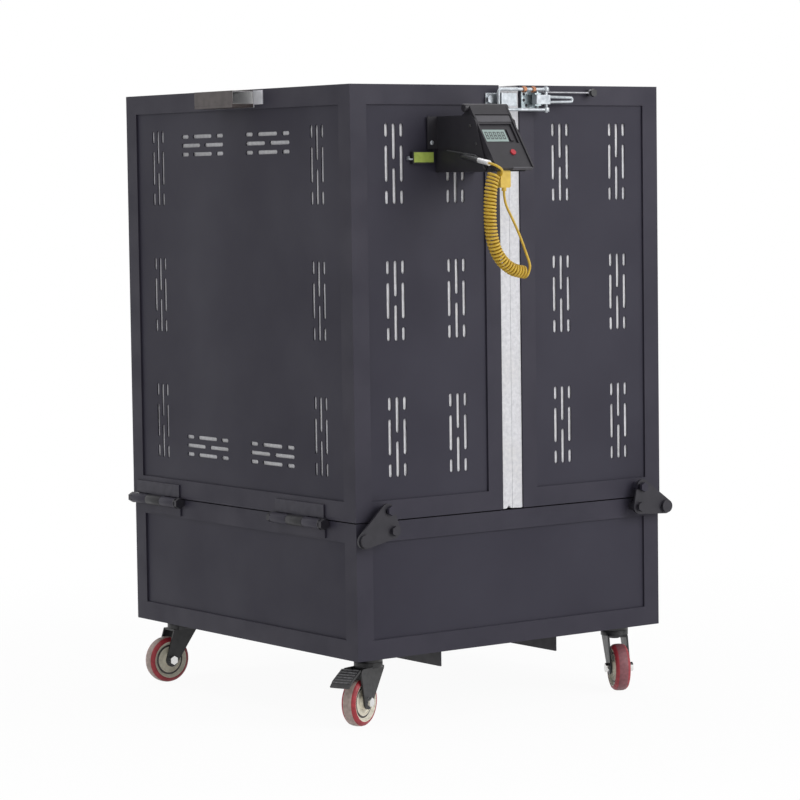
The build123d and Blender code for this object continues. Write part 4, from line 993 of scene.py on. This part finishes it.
@dataclass
class CurlyCord:
    """Curly cord from the probe's sleeve to its plug, one wire all the way."""

    plug: Object
    diameter: float = 3.8
    coil_outer: float = 19.5
    turns: float = 35.75
    steps_per_turn: int = 14
    length: float = 1.94
    plane_y: float = -453.0
    axis_xz: tuple[Pair, ...] = (
        (-139.7, 829.0), (-145.5, 813.0), (-148.0, 786.0), (-148.2, 757.0), (-144.0, 728.0),
        (-132.0, 704.5), (-113.5, 690.0), (-99.0, 684.5), (-83.0, 682.5),
    )
    sleeve_end: Triple = (-147.0, -451.0, 844.5)
    sleeve_way: Triple = (6.0, 66.0, 10.5)
    sleeve_run: float = 8.0
    probe_lead: tuple[Triple, ...] = ((-142.0, -465.5, 839.5), (-134.5, -466.5, 834.5))
    coil_entry: float = 7.0
    coil_exit: float = 10.0
    plug_lead: tuple[Triple, ...] = (
        (-86.5, -459.5, 712.0), (-94.5, -457.0, 735.0), (-104.5, -450.5, 763.0),
        (-113.5, -443.0, 787.0), (-113.5, -443.0, 803.0),
    )

    @staticmethod
    def spline(name: str, points: Sequence[Vector]) -> Object:
        """Make a smooth open curve.

        Args:
            name: The curve's name.
            points: Its control points, in metres.

        Returns:
            The curve.
        """
        data = bpy.data.curves.new(name, "CURVE")
        data.dimensions = "3D"
        line = data.splines.new("NURBS")
        line.points.add(len(points) - 1)
        for point, place in zip(line.points, points):
            point.co = (*place, 1.0)
        line.order_u = 3
        line.use_endpoint_u = True
        line.resolution_u = 4
        return add_object(name, data)

    def axis_points(self) -> list[Vector]:
        """Read the coil's middle line from its smooth curve.

        Returns:
            Points along it.
        """
        control = [Vector((x, self.plane_y, z)) * MM for x, z in self.axis_xz]
        mesh = curve_mesh(self.spline("coil_axis", control))
        points = [vertex.co.copy() for vertex in mesh.vertices]
        bpy.data.meshes.remove(mesh)
        return points

    def helix(self) -> list[Vector]:
        """Wind the turns round the coil's middle line.

        Returns:
            Points of the turns.
        """
        axis = self.axis_points()
        reach = [0.0]
        for before, after in zip(axis, axis[1:]):
            reach.append(reach[-1] + (after - before).length)
        count = round(self.turns * self.steps_per_turn)
        # A spline runs inside its control points, so they stand a little wide.
        shrink = math.cos(math.pi / self.steps_per_turn)
        radius = (self.coil_outer - self.diameter) / 2 * MM / shrink
        points = []
        span = 0
        for index in range(count + 1):
            share = reach[-1] * index / count
            while span < len(axis) - 2 and reach[span + 1] < share:
                span += 1
            along = (axis[span + 1] - axis[span]).normalized()
            middle = axis[span] + along * (share - reach[span])
            inward = Vector((-along.z, 0.0, along.x)) * radius
            turn = 2 * math.pi * self.turns * index / count
            sideways = Vector((0, radius * math.sin(turn), 0))
            points.append(middle + inward * math.cos(turn) + sideways)
        return points

    def build(self) -> None:
        """Make the cord and hide the frame's cord parts."""
        coil = self.helix()
        start_way = (coil[1] - coil[0]).normalized()
        end_way = (coil[-1] - coil[-2]).normalized()
        sleeve_end = Vector(self.sleeve_end) * MM
        out = Vector(self.sleeve_way).normalized()
        route = [sleeve_end, sleeve_end - out * self.sleeve_run * MM]
        route += [Vector(point) * MM for point in self.probe_lead]
        route.append(coil[0] - start_way * self.coil_entry * MM)
        route += coil
        route.append(coil[-1] + end_way * self.coil_exit * MM)
        route += [Vector(point) * MM for point in self.plug_lead]
        cord = self.spline("curly_cord", route)
        cord.data.bevel_depth = self.diameter / 2 * MM
        cord.data.bevel_resolution = 4
        cord.data.use_fill_caps = True
        cord.data.materials.append(material_of(CORD_SKIN))
        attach(cord, Side.LEFT.body)
        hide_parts("cord_probe_lead", "cord_coil", "cord_plug_lead")


@dataclass
class VentPattern:
    """One group of pressed slots: three columns with rounded ends."""

    width: float = 6.0
    pitch: float = 14.0
    gap: float = 13.0
    short: float = 20.0
    long: float = 54.0
    middle: float = 53.5
    end_steps: int = 8

    def slots(self) -> list[Triple]:
        """Lay out one group.

        Returns:
            Across, along and length of each slot.
        """
        short_centre = self.long / 2 + self.gap + self.short / 2
        middle_centre = (self.gap + self.middle) / 2
        found = [(0.0, end * middle_centre, self.middle) for end in (1, -1)]
        for side in (-self.pitch, self.pitch):
            found.append((side, 0.0, self.long))
            found += [(side, end * short_centre, self.short) for end in (1, -1)]
        return found

    def outlines(self, centre: Pair, sideways: bool) -> list[list[Vector]]:
        """Outlines of one group's slots, in metres on the sheet.

        Args:
            centre: Middle of the group in millimetres.
            sideways: Whether the group lies on its side.

        Returns:
            One closed outline per slot.
        """
        radius = self.width / 2
        outlines = []
        for across, along, length in self.slots():
            points = []
            for end, start in ((1, 0.0), (-1, math.pi)):
                for step in range(self.end_steps + 1):
                    turn = math.pi * step / self.end_steps + start
                    x = across + radius * math.cos(turn)
                    y = along + end * (length / 2 - radius) + radius * math.sin(turn)
                    if sideways:
                        x, y = y, x
                    points.append(Vector((centre[0] + x, centre[1] + y, 0)) * MM)
            outlines.append(points)
        return outlines


@dataclass
class SlottedSheets:
    """The slotted front, rear and side sheets of one half of the hood."""

    side: Side
    pattern: VentPattern = field(default_factory=VentPattern)
    end_columns: Pair = (103.0, 218.0)
    side_columns: Pair = (-224.0, 224.0)
    rows: Triple = (437.0, 641.5, 846.0)
    turned_y: Pair = (-92.0, 92.0)
    turned_z: Pair = (401.0, 881.0)
    sheet: float = 1.5
    probe_hole: Triple = (-129.0, 856.0, 4.3)

    def groups(
        self, across: Iterable[float], up: Sequence[float], sideways: bool
    ) -> list[list[Vector]]:
        """Outlines of the slots of several groups.

        Args:
            across: Middles of the groups across the sheet.
            up: Their heights.
            sideways: Whether they lie on their sides.

        Returns:
            One closed outline per slot.
        """
        found = []
        for centre in product(across, up):
            found += self.pattern.outlines(centre, sideways)
        return found

    def add(self, node: str, shape: BMesh) -> None:
        """Seat a sheet in the place of its node."""
        piece = seat(f"{node}_cut", shape, ANTHRACITE_SHEET, self.side.body)
        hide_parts(node)

    def build_ends(self) -> None:
        """Make the front and rear sheets as one piece."""
        node = f"{self.side.body}_end_panels"
        low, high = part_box(node)
        columns = [self.side.value * column for column in self.end_columns]
        slots = self.groups(columns, self.rows, False)
        joined = bmesh.new()
        for y in (low.y + self.sheet / 2 * MM, high.y - self.sheet / 2 * MM):
            outlines = [edge_outline(low.x, high.x, low.z, high.z)] + slots
            if self.side is Side.LEFT and y < 0:
                outlines.append(ring_outline(*self.probe_hole))
            place = Matrix.Translation((0, y, 0)) @ quarter_turn(Axis.X)
            join_into(joined, cut_sheet(outlines, place, self.sheet))
        self.add(node, joined)

    def build_side(self) -> None:
        """Make the side sheet."""
        node = f"{self.side.body}_side_panel"
        low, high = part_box(node)
        outlines = [edge_outline(low.y, high.y, low.z, high.z)]
        outlines += self.groups(self.side_columns, self.rows, False)
        outlines += self.groups(self.turned_y, self.turned_z, True)
        middle = (low.x + high.x) / 2
        turn = Matrix(((0, 0, 1, middle), (1, 0, 0, 0), (0, 1, 0, 0), (0, 0, 0, 1)))
        self.add(node, cut_sheet(outlines, turn, self.sheet))

    def build(self) -> None:
        """Make all sheets of the half."""
        self.build_ends()
        self.build_side()


@dataclass
class FibreLining:
    """Soft fibre blocks of one half, in the places of the lining's plain blocks."""

    side: Side
    part: str
    nodes: dict[str, Object]
    depth: float = 1.6
    edge_dents: float = 2.5
    edge_share: float = 0.6
    coarse: float = 12.0
    fine: float = 2.4
    ripple: float = 22.0
    fine_ripple: float = 6.0
    fine_share: float = 0.5
    strip_thickness: float = 30.0
    strip_depth: float = 0.25
    seam_gap: float = 0.05
    ragged: float = 12.0
    fray: float = 1.2
    fray_noise: Triple = (0.35, 90.0, 3.0)
    notch: float = 4.5
    notch_x: float = -6.7
    notch_width: float = 3.0

    def blocks(self, node: Object) -> list[tuple[Vector, Vector]]:
        """Find the blocks of a lining node, which touch but share no face.

        Args:
            node: The lining node.

        Returns:
            Lowest and highest corner of each block, in order.
        """
        shape = bmesh.new()
        shape.from_mesh(node.data)
        bmesh.ops.remove_doubles(shape, verts=shape.verts, dist=SAME_CORNER)
        left = set(shape.faces)
        found = []
        while left:
            island = []
            queue = [left.pop()]
            while queue:
                face = queue.pop()
                island.extend(vertex.co.copy() for vertex in face.verts)
                for edge in face.edges:
                    if len(edge.link_faces) == 2:
                        near = [other for other in edge.link_faces if other in left]
                        left.difference_update(near)
                        queue.extend(near)
            low = Vector([min(point[axis] for point in island) for axis in range(3)])
            high = Vector([max(point[axis] for point in island) for axis in range(3)])
            if min(high - low) > MM:
                found.append((low, high))
        shape.free()
        return sorted(found, key=lambda corners: tuple(corners[0]) + tuple(corners[1]))

    def tear(self, shape: BMesh, low: Vector) -> None:
        """Fray the lower end of a strip, with a notch near its middle.

        Args:
            shape: The strip.
            low: Its lowest corner.
        """
        across, along, layer = self.fray_noise
        for vertex in shape.verts:
            rise = (vertex.co.z - low.z) / MM
            if rise < self.ragged:
                x = vertex.co.x / MM
                notch = self.notch * math.exp(-((x - self.notch_x) / self.notch_width) ** 2)
                spot = Vector((x * across, vertex.co.y * along, layer))
                fray = self.fray * noise.noise(spot)
                vertex.co.z += (notch + abs(fray)) * (1 - rise / self.ragged) * MM

    def soften(self, shape: BMesh, low: Vector, high: Vector, depth: float) -> None:
        """Round a block's edges and dent its faces inwards.

        Args:
            shape: The block.
            low: Its lowest corner.
            high: Its highest corner.
            depth: Depth of the dents in millimetres.
        """
        middle = (low + high) / 2
        half = (high - low) / 2
        round_edge = min(depth * self.edge_dents * MM, min(half) * self.edge_share)
        for vertex in shape.verts:
            away = vertex.co - middle
            core = Vector([
                max(-half[axis] + round_edge, min(half[axis] - round_edge, away[axis]))
                for axis in range(3)
            ])
            out = away - core
            if out.length > 0:
                way = out.normalized()
                vertex.co = middle + core + way * round_edge
                spot = vertex.co * self.ripple
                wave = noise.noise(spot) + self.fine_share * noise.noise(spot * self.fine_ripple)
                vertex.co -= way * (0.5 + 0.5 * wave) * depth * MM

    def build(self) -> None:
        """Make the lining."""
        node = f"{self.side.body}_{self.part}"
        joined = bmesh.new()
        for low, high in self.blocks(self.nodes[node]):
            is_strip = min(high - low) < self.strip_thickness * MM
            if is_strip and self.side is Side.LEFT:
                high.x = -self.seam_gap * MM
            elif is_strip:
                low.x = self.seam_gap * MM
            shape = slab(low, high, (self.fine if is_strip else self.coarse) * MM)
            self.soften(shape, low, high, self.strip_depth if is_strip else self.depth)
            if is_strip and high.z - low.z > high.x - low.x:
                self.tear(shape, low)
            join_into(joined, shape)
        piece = seat(f"{node}_soft", joined, LINING, self.side.body)
        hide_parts(node)


@dataclass
class Caster:
    """Wheel of one caster, turned finely, and the looks of its fork."""

    name: str
    joint: dict[str, Any]
    fork: Object
    tread: Tones
    half_width: float = 12.5
    middle_radius: float = 37.5
    steps: int = 96
    # Radius and depth below the wheel's side, from the bore outwards.
    section: tuple[Pair, ...] = (
        (4.3, 0.0), (9.0, 0.0), (10.5, 1.5), (12.0, 5.0), (19.0, 5.5), (20.0, 4.0), (22.0, 4.0),
        (24.0, 5.2), (27.0, 3.2), (28.5, 1.2), (31.0, 0.4), (34.0, 1.6), (36.3, 4.2), (37.2, 7.5),
    )

    def profile(self) -> list[Pair]:
        """Mirror the section about the wheel's middle plane.

        Returns:
            Radius and height pairs of the closed section.
        """
        points = [(radius, depth - self.half_width) for radius, depth in self.section]
        mirrored = [(radius, -height) for radius, height in reversed(points)]
        return points + [(self.middle_radius, 0.0)] + mirrored + points[:1]

    def build(self) -> None:
        """Make the wheel and paint the fork."""
        centre = Vector(self.joint["pos_m"])
        axle = Vector(self.joint["axis"]).normalized()
        turn = axle.to_track_quat("Z", "Y").to_matrix().to_4x4()
        shape = turned(self.profile(), Matrix.Translation(centre) @ turn, self.steps)
        bmesh.ops.remove_doubles(shape, verts=shape.verts, dist=SAME_POINT)
        here = {"centre": tuple(centre), "axle": tuple(axle)}
        zones = (*RINGED_WHEEL.zones, Zone(self.tread, TREAD_LIMITS))
        finish = replace(RINGED_WHEEL, name=f"wheel_{self.name}", zones=zones, **here)
        node = f"caster_{self.name}_wheel"
        piece = seat(f"{node}_turned", shape, finish, node)
        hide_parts(node)
        black = replace(FORK_BLACK, name=f"fork_{self.name}", **here)
        self.fork.data.materials.clear()
        self.fork.data.materials.append(material_of(black))


@dataclass
class PedalRibs:
    """Raised, worn ribs on a brake pedal."""

    name: str
    joints: dict[str, dict[str, Any]]
    half_width: float = 14.5
    near: Pair = (12.0, 5.0)
    far: Pair = (38.0, -10.2)
    count: int = 6
    rib: float = 1.3
    edge: float = 0.6

    def frame(self) -> Matrix:
        """The pedal's own frame at its pivot.

        Returns:
            The frame, with X forward, Y across and Z up.
        """
        brake, swivel, wheel = (
            Vector(self.joints[f"caster_{self.name}_{motion}"]["pos_m"])
            for motion in ("brake", "swivel", "roll")
        )
        forward = wheel - swivel
        forward.z = 0.0
        forward.normalize()
        up = Vector((0, 0, 1))
        turn = Matrix((forward, up.cross(forward), up)).transposed()
        return Matrix.Translation(brake) @ turn.to_4x4()

    def build(self) -> None:
        """Make the ribs."""
        near, way = Vector(self.near), Vector(self.far) - Vector(self.near)
        tilt = Matrix.Rotation(-math.atan2(way.y, way.x), 4, "Y")
        shape = bmesh.new()
        for index in range(self.count):
            x, z = near + way * (index / (self.count - 1))
            place = self.frame() @ Matrix.Translation(Vector((x, 0, z)) * MM) @ tilt
            corner = (self.rib, self.half_width, self.rib)
            block(shape, place, [-size for size in corner], corner)
        node = f"caster_{self.name}_pedal"
        seat(f"{node}_ribs", shape, RIB_WEAR, node, bevel=self.edge)


@dataclass
class Thermometer:
    """Leaning case of the thermometer with its display, its screws and its tray's lip.

    Sizes on the face are in millimetres across it, up its slope and out of it.
    """

    corner: Triple = (-140.0, -456.0, 837.0)
    lean: float = 34.7
    width: float = 75.0
    height: float = 111.0
    side_gap: float = 1.8
    front: float = 6.4
    depth: float = 28.0
    heel: float = 3.5
    foot: float = 5.0
    sunk: float = 0.2
    edge: float = 0.5
    ridge: float = 3.0
    ridge_rise: float = 2.0
    cap: Pair = (96.5, 111.0)
    cap_rise: float = 1.5
    band: Pair = (83.5, 95.0)
    band_rise: float = 0.7
    band_edge: float = 0.4
    chin: Corners = ((33.75, -0.8, -4.5), (72.0, 1.2, 0.9))
    recess: Box = (6.0, 66.0, 45.0, 80.0)
    bed: float = 2.6
    glass: Box = (8.5, 51.0, 49.5, 71.0)
    glass_rise: float = 0.5
    glass_edge: float = 0.2
    column: Box = (54.0, 60.0, 50.0, 71.0)
    column_drop: float = 0.6
    well: Triple = (46.5, 28.0, 4.8)
    bar_radius: float = 6.0
    bar_x: Pair = (-5.0, 77.0)
    bar_y: float = 113.0
    bar_rise: float = 1.0
    bar_edge: float = 1.0
    bar_steps: int = 32
    digits: int = 5
    digits_left: float = 3.0
    digits_margin: float = 4.0
    digit_level: float = 0.45
    stroke: float = 1.4
    digit_gap: float = 2.4
    digit_share: float = 0.62
    digit_rise: float = 0.15
    side_screws: tuple[Pair, ...] = ((-397.3, 899.9), (-411.3, 873.1))
    pan_head: tuple[Pair, ...] = (
        (0, 1.6), (1.8, 1.5), (2.7, 0.8), (2.9, 0.0), (2.9, -1.2), (0, -1.2)
    )
    flange_screw: Triple = (-150.4, -316.5, 876.7)
    flange_head: tuple[Pair, ...] = (
        (0, 2.2), (2.2, 2.0), (3.2, 1.1), (3.4, 0.0), (3.4, -0.5), (0, -0.5)
    )
    screw_steps: int = 24
    lip: tuple[Pair, ...] = ((-343.0, 865.0), (-410.0, 857.0), (-428.0, 847.0), (-434.0, 836.0))
    lip_out: float = 3.0
    lip_width: float = 3.2
    lip_rise: Pair = (0.4, -1.1)
    lip_edge: float = 0.3
    tag: Corners = ((-186.0, -320.0, 847.5), (-149.5, -318.3, 862.5))
    tag_frame: Corners = ((-187.5, -318.5, 845.5), (-147.0, -311.8, 864.0))
    tag_clip: tuple[Corners, ...] = (
        ((-195.0, -318.2, 851.0), (-187.0, -317.0, 853.5)),
        ((-195.0, -318.2, 851.0), (-193.6, -311.8, 856.5)),
    )

    def face(self) -> Matrix:
        """The face's frame.

        Returns:
            The frame, with X across, Y up the slope and Z out of it.
        """
        lean = math.radians(self.lean)
        up = Vector((0, math.sin(lean), math.cos(lean)))
        out = Vector((0, -math.cos(lean), math.sin(lean)))
        turn = Matrix((Vector((1, 0, 0)), up, out)).transposed()
        return Matrix.Translation(Vector(self.corner) * MM) @ turn.to_4x4()

    def add(
        self, name: str, shape: BMesh, finish: Finish, slot: str, bevel: float = 0.0
    ) -> Object:
        """Seat a piece that rides with the left half."""
        return seat(name, shape, finish, Side.LEFT.body, bevel)

    def shell(self) -> BMesh:
        """The case's body and its cut front plate.

        Returns:
            The mesh.
        """
        face = self.face()
        low_x, high_x = self.side_gap, self.width - self.side_gap
        lean = math.radians(self.lean)
        drop = self.height * math.cos(lean) - self.depth * math.sin(lean) + self.heel
        front_low, front_high, top_back = (
            face @ (Vector((low_x, *spot)) * MM)
            for spot in ((0, -self.front), (self.height, -self.front), (self.height, -self.depth))
        )
        bottom_back = top_back - Vector((0, drop * math.tan(lean), drop)) * MM
        toe = (self.corner[1] + self.foot, self.corner[2] - self.heel)
        bottom_front = Vector((top_back.x, toe[0] * MM, toe[1] * MM))
        shape = bmesh.new()
        outline = [front_low, front_high, top_back, bottom_back, bottom_front]
        prism(shape, outline, Vector(((high_x - low_x) * MM, 0, 0)))
        holes = [
            edge_outline(low_x * MM, high_x * MM, 0.0, self.height * MM),
            edge_outline(*[size * MM for size in self.recess]),
            ring_outline(*self.well),
        ]
        plate = face @ Matrix.Translation((0, 0, -self.front / 2 * MM))
        join_into(shape, cut_sheet(holes, plate, self.front))
        return shape

    def case(self) -> None:
        """Make the case with its recess, ridges and top bar."""
        face = self.face()
        shape = self.shell()
        low_x, high_x = self.side_gap, self.width - self.side_gap
        inner = (low_x + self.ridge, high_x - self.ridge)
        join_into(shape, blocks(face, [
            ((*self.recess[::2], -self.front), (*self.recess[1::2], -self.bed)),
            ((low_x, 0, -self.sunk), (inner[0], self.height, self.ridge_rise)),
            ((inner[1], 0, -self.sunk), (high_x, self.height, self.ridge_rise)),
            ((inner[0], self.cap[0], -self.sunk), (inner[1], self.cap[1], self.cap_rise)),
            ((*self.column[::2], -self.bed - self.sunk), (*self.column[1::2], -self.column_drop)),
        ]))
        radius, length = self.bar_radius, self.bar_x[1] - self.bar_x[0]
        start = face @ (Vector((self.bar_x[0], self.bar_y, self.bar_rise - radius)) * MM)
        bar = Matrix.Translation(start) @ quarter_turn(Axis.Y)
        ends = [(0, 0), (radius - self.bar_edge, 0), (radius, self.bar_edge)]
        profile = ends + [(r, length - rise) for r, rise in reversed(ends)]
        join_into(shape, turned(profile, bar, self.bar_steps))
        piece = self.add("meter_shell", shape, METER_PLASTIC, "black_plastic", self.edge)
        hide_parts("meter_case", "meter_window")

    def bands(self) -> None:
        """Make the lighter band above the display and the lip below the face."""
        low_x, high_x = self.side_gap + self.ridge, self.width - self.side_gap - self.ridge
        band = ((low_x, self.band[0], -self.sunk), (high_x, self.band[1], self.band_rise))
        shape = blocks(self.face(), [band, self.chin])
        self.add("meter_bands", shape, METER_BAND, "black_plastic", self.band_edge)

    def display(self) -> None:
        """Make the grey-green display and its figures of the usual seven strokes."""
        low_x, high_x, low_y, high_y = self.glass
        box = ((low_x, low_y, -self.bed - self.sunk), (high_x, high_y, self.glass_rise - self.bed))
        shape = blocks(self.face(), [box])
        self.add("meter_display", shape, DISPLAY, "display", self.glass_edge)
        pitch = (high_x - low_x - self.digits_margin) / self.digits
        wide, tall = pitch - self.digit_gap, (high_y - low_y) * self.digit_share
        foot = low_y + (high_y - low_y - tall) / 2
        level, bar = self.digit_level - self.bed, self.stroke
        top = level + self.digit_rise
        half = (tall - bar) / 2
        boxes = []
        for index in range(self.digits):
            left = low_x + self.digits_left + pitch * index
            for y in (foot, foot + half, foot + 2 * half):
                boxes.append(((left, y, level), (left + wide, y + bar, top)))
            for x in (left, left + wide - bar):
                for y in (foot + bar, foot + half + bar):
                    high = (x + bar, y + half - bar - self.sunk, top)
                    boxes.append(((x, y + self.sunk, level), high))
        shape = blocks(self.face(), boxes)
        seat("meter_digits", shape, DIGIT, Side.LEFT.body, smooth=False)

    def screws(self) -> None:
        """Make the screws of the case's side, and the pale one of the bracket's flange."""
        spots = [(self.corner[0], y, z) for y, z in self.side_screws]
        shape = heads(self.pan_head, spots, quarter_turn(Axis.Y, -1), self.screw_steps)
        self.add("meter_side_screws", shape, BLACK_PLASTIC, "black_plastic")
        front = quarter_turn(Axis.X)
        shape = heads(self.flange_head, [self.flange_screw], front, self.screw_steps)
        self.add("bracket_screw", shape, GALVANISED, "galvanised")

    def tray_lip(self) -> None:
        """Make the bent lip along the tray's upper edge, coloured lighter as a painted highlight.
        """
        x = self.corner[0] - self.lip_out
        upper, lower = (
            [Vector((x, y, z + rise)) * MM for y, z in self.lip] for rise in self.lip_rise
        )
        shape = bmesh.new()
        prism(shape, upper + lower[::-1], Vector((self.lip_width * MM, 0, 0)))
        self.add("tray_lip", shape, TRAY_LIP_HIGHLIGHT, "black_plastic", self.lip_edge)

    def bare_tag(self) -> None:
        """Make the bare coloured tag in a dark frame, with a pale clip at its end."""
        for name, boxes, finish, slot in (
            ("tag_frame", [self.tag_frame], BLACK_PLASTIC, "black_plastic"),
            ("tag_plate", [self.tag], BARE_TAG, "display"),
            ("tag_clip", self.tag_clip, GALVANISED, "galvanised"),
        ):
            self.add(name, blocks(Matrix.Identity(4), boxes), finish, slot, self.edge)

    def build(self) -> None:
        """Make all of it."""
        for step in (
            self.case, self.bands, self.display, self.screws, self.tray_lip, self.bare_tag
        ):
            step()


@dataclass
class LatchTrim:
    """Copper nuts on the loop's upper rod, and small dark screws in the zinc plate."""

    rod_y: float = -331.0
    rod_z: float = 957.5
    nut_x: Pair = (17.0, 35.0)
    nut_flats: float = 8.4
    nut_length: float = 6.0
    nut_edge: float = 0.5
    plate_y: float = -318.0
    screw_xz: tuple[Pair, ...] = ((26.5, 950.5), (31.5, 933.5), (26.5, 941.5))
    screw_head: tuple[Pair, ...] = (
        (0, 0.4), (1.0, 0.6), (1.9, 0.9), (2.3, 0.3), (2.3, -0.5), (0, -0.5)
    )
    screw_steps: int = 20

    def nuts(self) -> None:
        """Make the hexagon nuts round the rod."""
        shape = bmesh.new()
        radius = self.nut_flats / math.sqrt(3)
        turns = [math.radians(60 * step + 30) for step in range(6)]
        for start in (x - self.nut_length / 2 for x in self.nut_x):
            corners = [
                (start, self.rod_y + radius * math.cos(turn), self.rod_z + radius * math.sin(turn))
                for turn in turns
            ]
            outline = [Vector(corner) * MM for corner in corners]
            prism(shape, outline, Vector((self.nut_length * MM, 0, 0)))
        seat("latch_loop_nuts", shape, COPPER, "latch_loop", bevel=self.nut_edge)

    def build(self) -> None:
        """Make all of it."""
        self.nuts()
        spots = [(x, self.plate_y, z) for x, z in self.screw_xz]
        shape = heads(self.screw_head, spots, quarter_turn(Axis.X), self.screw_steps)
        seat("latch_plate_screws", shape, DARK_STEEL, Side.RIGHT.body)


@dataclass
class CadDress:
    """Gives every frame node that stays in view its finish and soft edges."""

    nodes: dict[str, Object]
    edge: float = 0.35

    def finish_of(self, name: str) -> Finish:
        """Look up the finish that a node takes.

        Args:
            name: The node's name.

        Returns:
            The finish of its name, or else of its last words.
        """
        if name in NODE_FINISHES:
            return NODE_FINISHES[name]
        for ending, finish in NODE_FINISHES.items():
            if name.endswith(f"_{ending}"):
                return finish
        return ANTHRACITE

    def build(self) -> None:
        """Dress every node that is still shown. The forks have their paint."""
        for name, node in self.nodes.items():
            if node.hide_render:
                continue
            if not name.endswith("_fork"):
                node.data.materials.clear()
                node.data.materials.append(material_of(self.finish_of(name)))
            node.modifiers.new("weld", "WELD").merge_threshold = SAME_CORNER
            soften_edges(node, self.edge)


def main() -> None:
    """Build the looks in order and log each step."""
    logging.basicConfig(level=logging.INFO)
    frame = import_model()
    nodes = frame["nodes"]
    joints = {joint["name"]: joint for joint in frame["joints"]}
    steps: list[tuple[str, Callable[[], None]]] = [
        ("studio", Studio().build),
        ("cord", CurlyCord(nodes["cord_plug"]).build),
        ("thermometer", Thermometer().build),
        ("latch trim", LatchTrim().build),
    ]
    for side in Side:
        steps.append((f"sheets {side.word}", SlottedSheets(side).build))
        for part in ("wall_lining", "roof_lining"):
            steps.append((f"{part} {side.word}", FibreLining(side, part, nodes).build))
    for joint_name, joint in joints.items():
        name, _, motion = joint_name.removeprefix("caster_").rpartition("_")
        if motion == "roll":
            tread = MAROON if name == "front_right" else TAUPE
            wheel = Caster(name, joint, nodes[f"caster_{name}_fork"], tread)
            steps.append((f"wheel {name}", wheel.build))
        if motion == "brake":
            steps.append((f"pedal ribs {name}", PedalRibs(name, joints).build))
    steps.append(("frame nodes", CadDress(nodes).build))
    for label, build in steps:
        build()
        LOG.info("built %s", label)


if __name__ == "__main__":
    main()
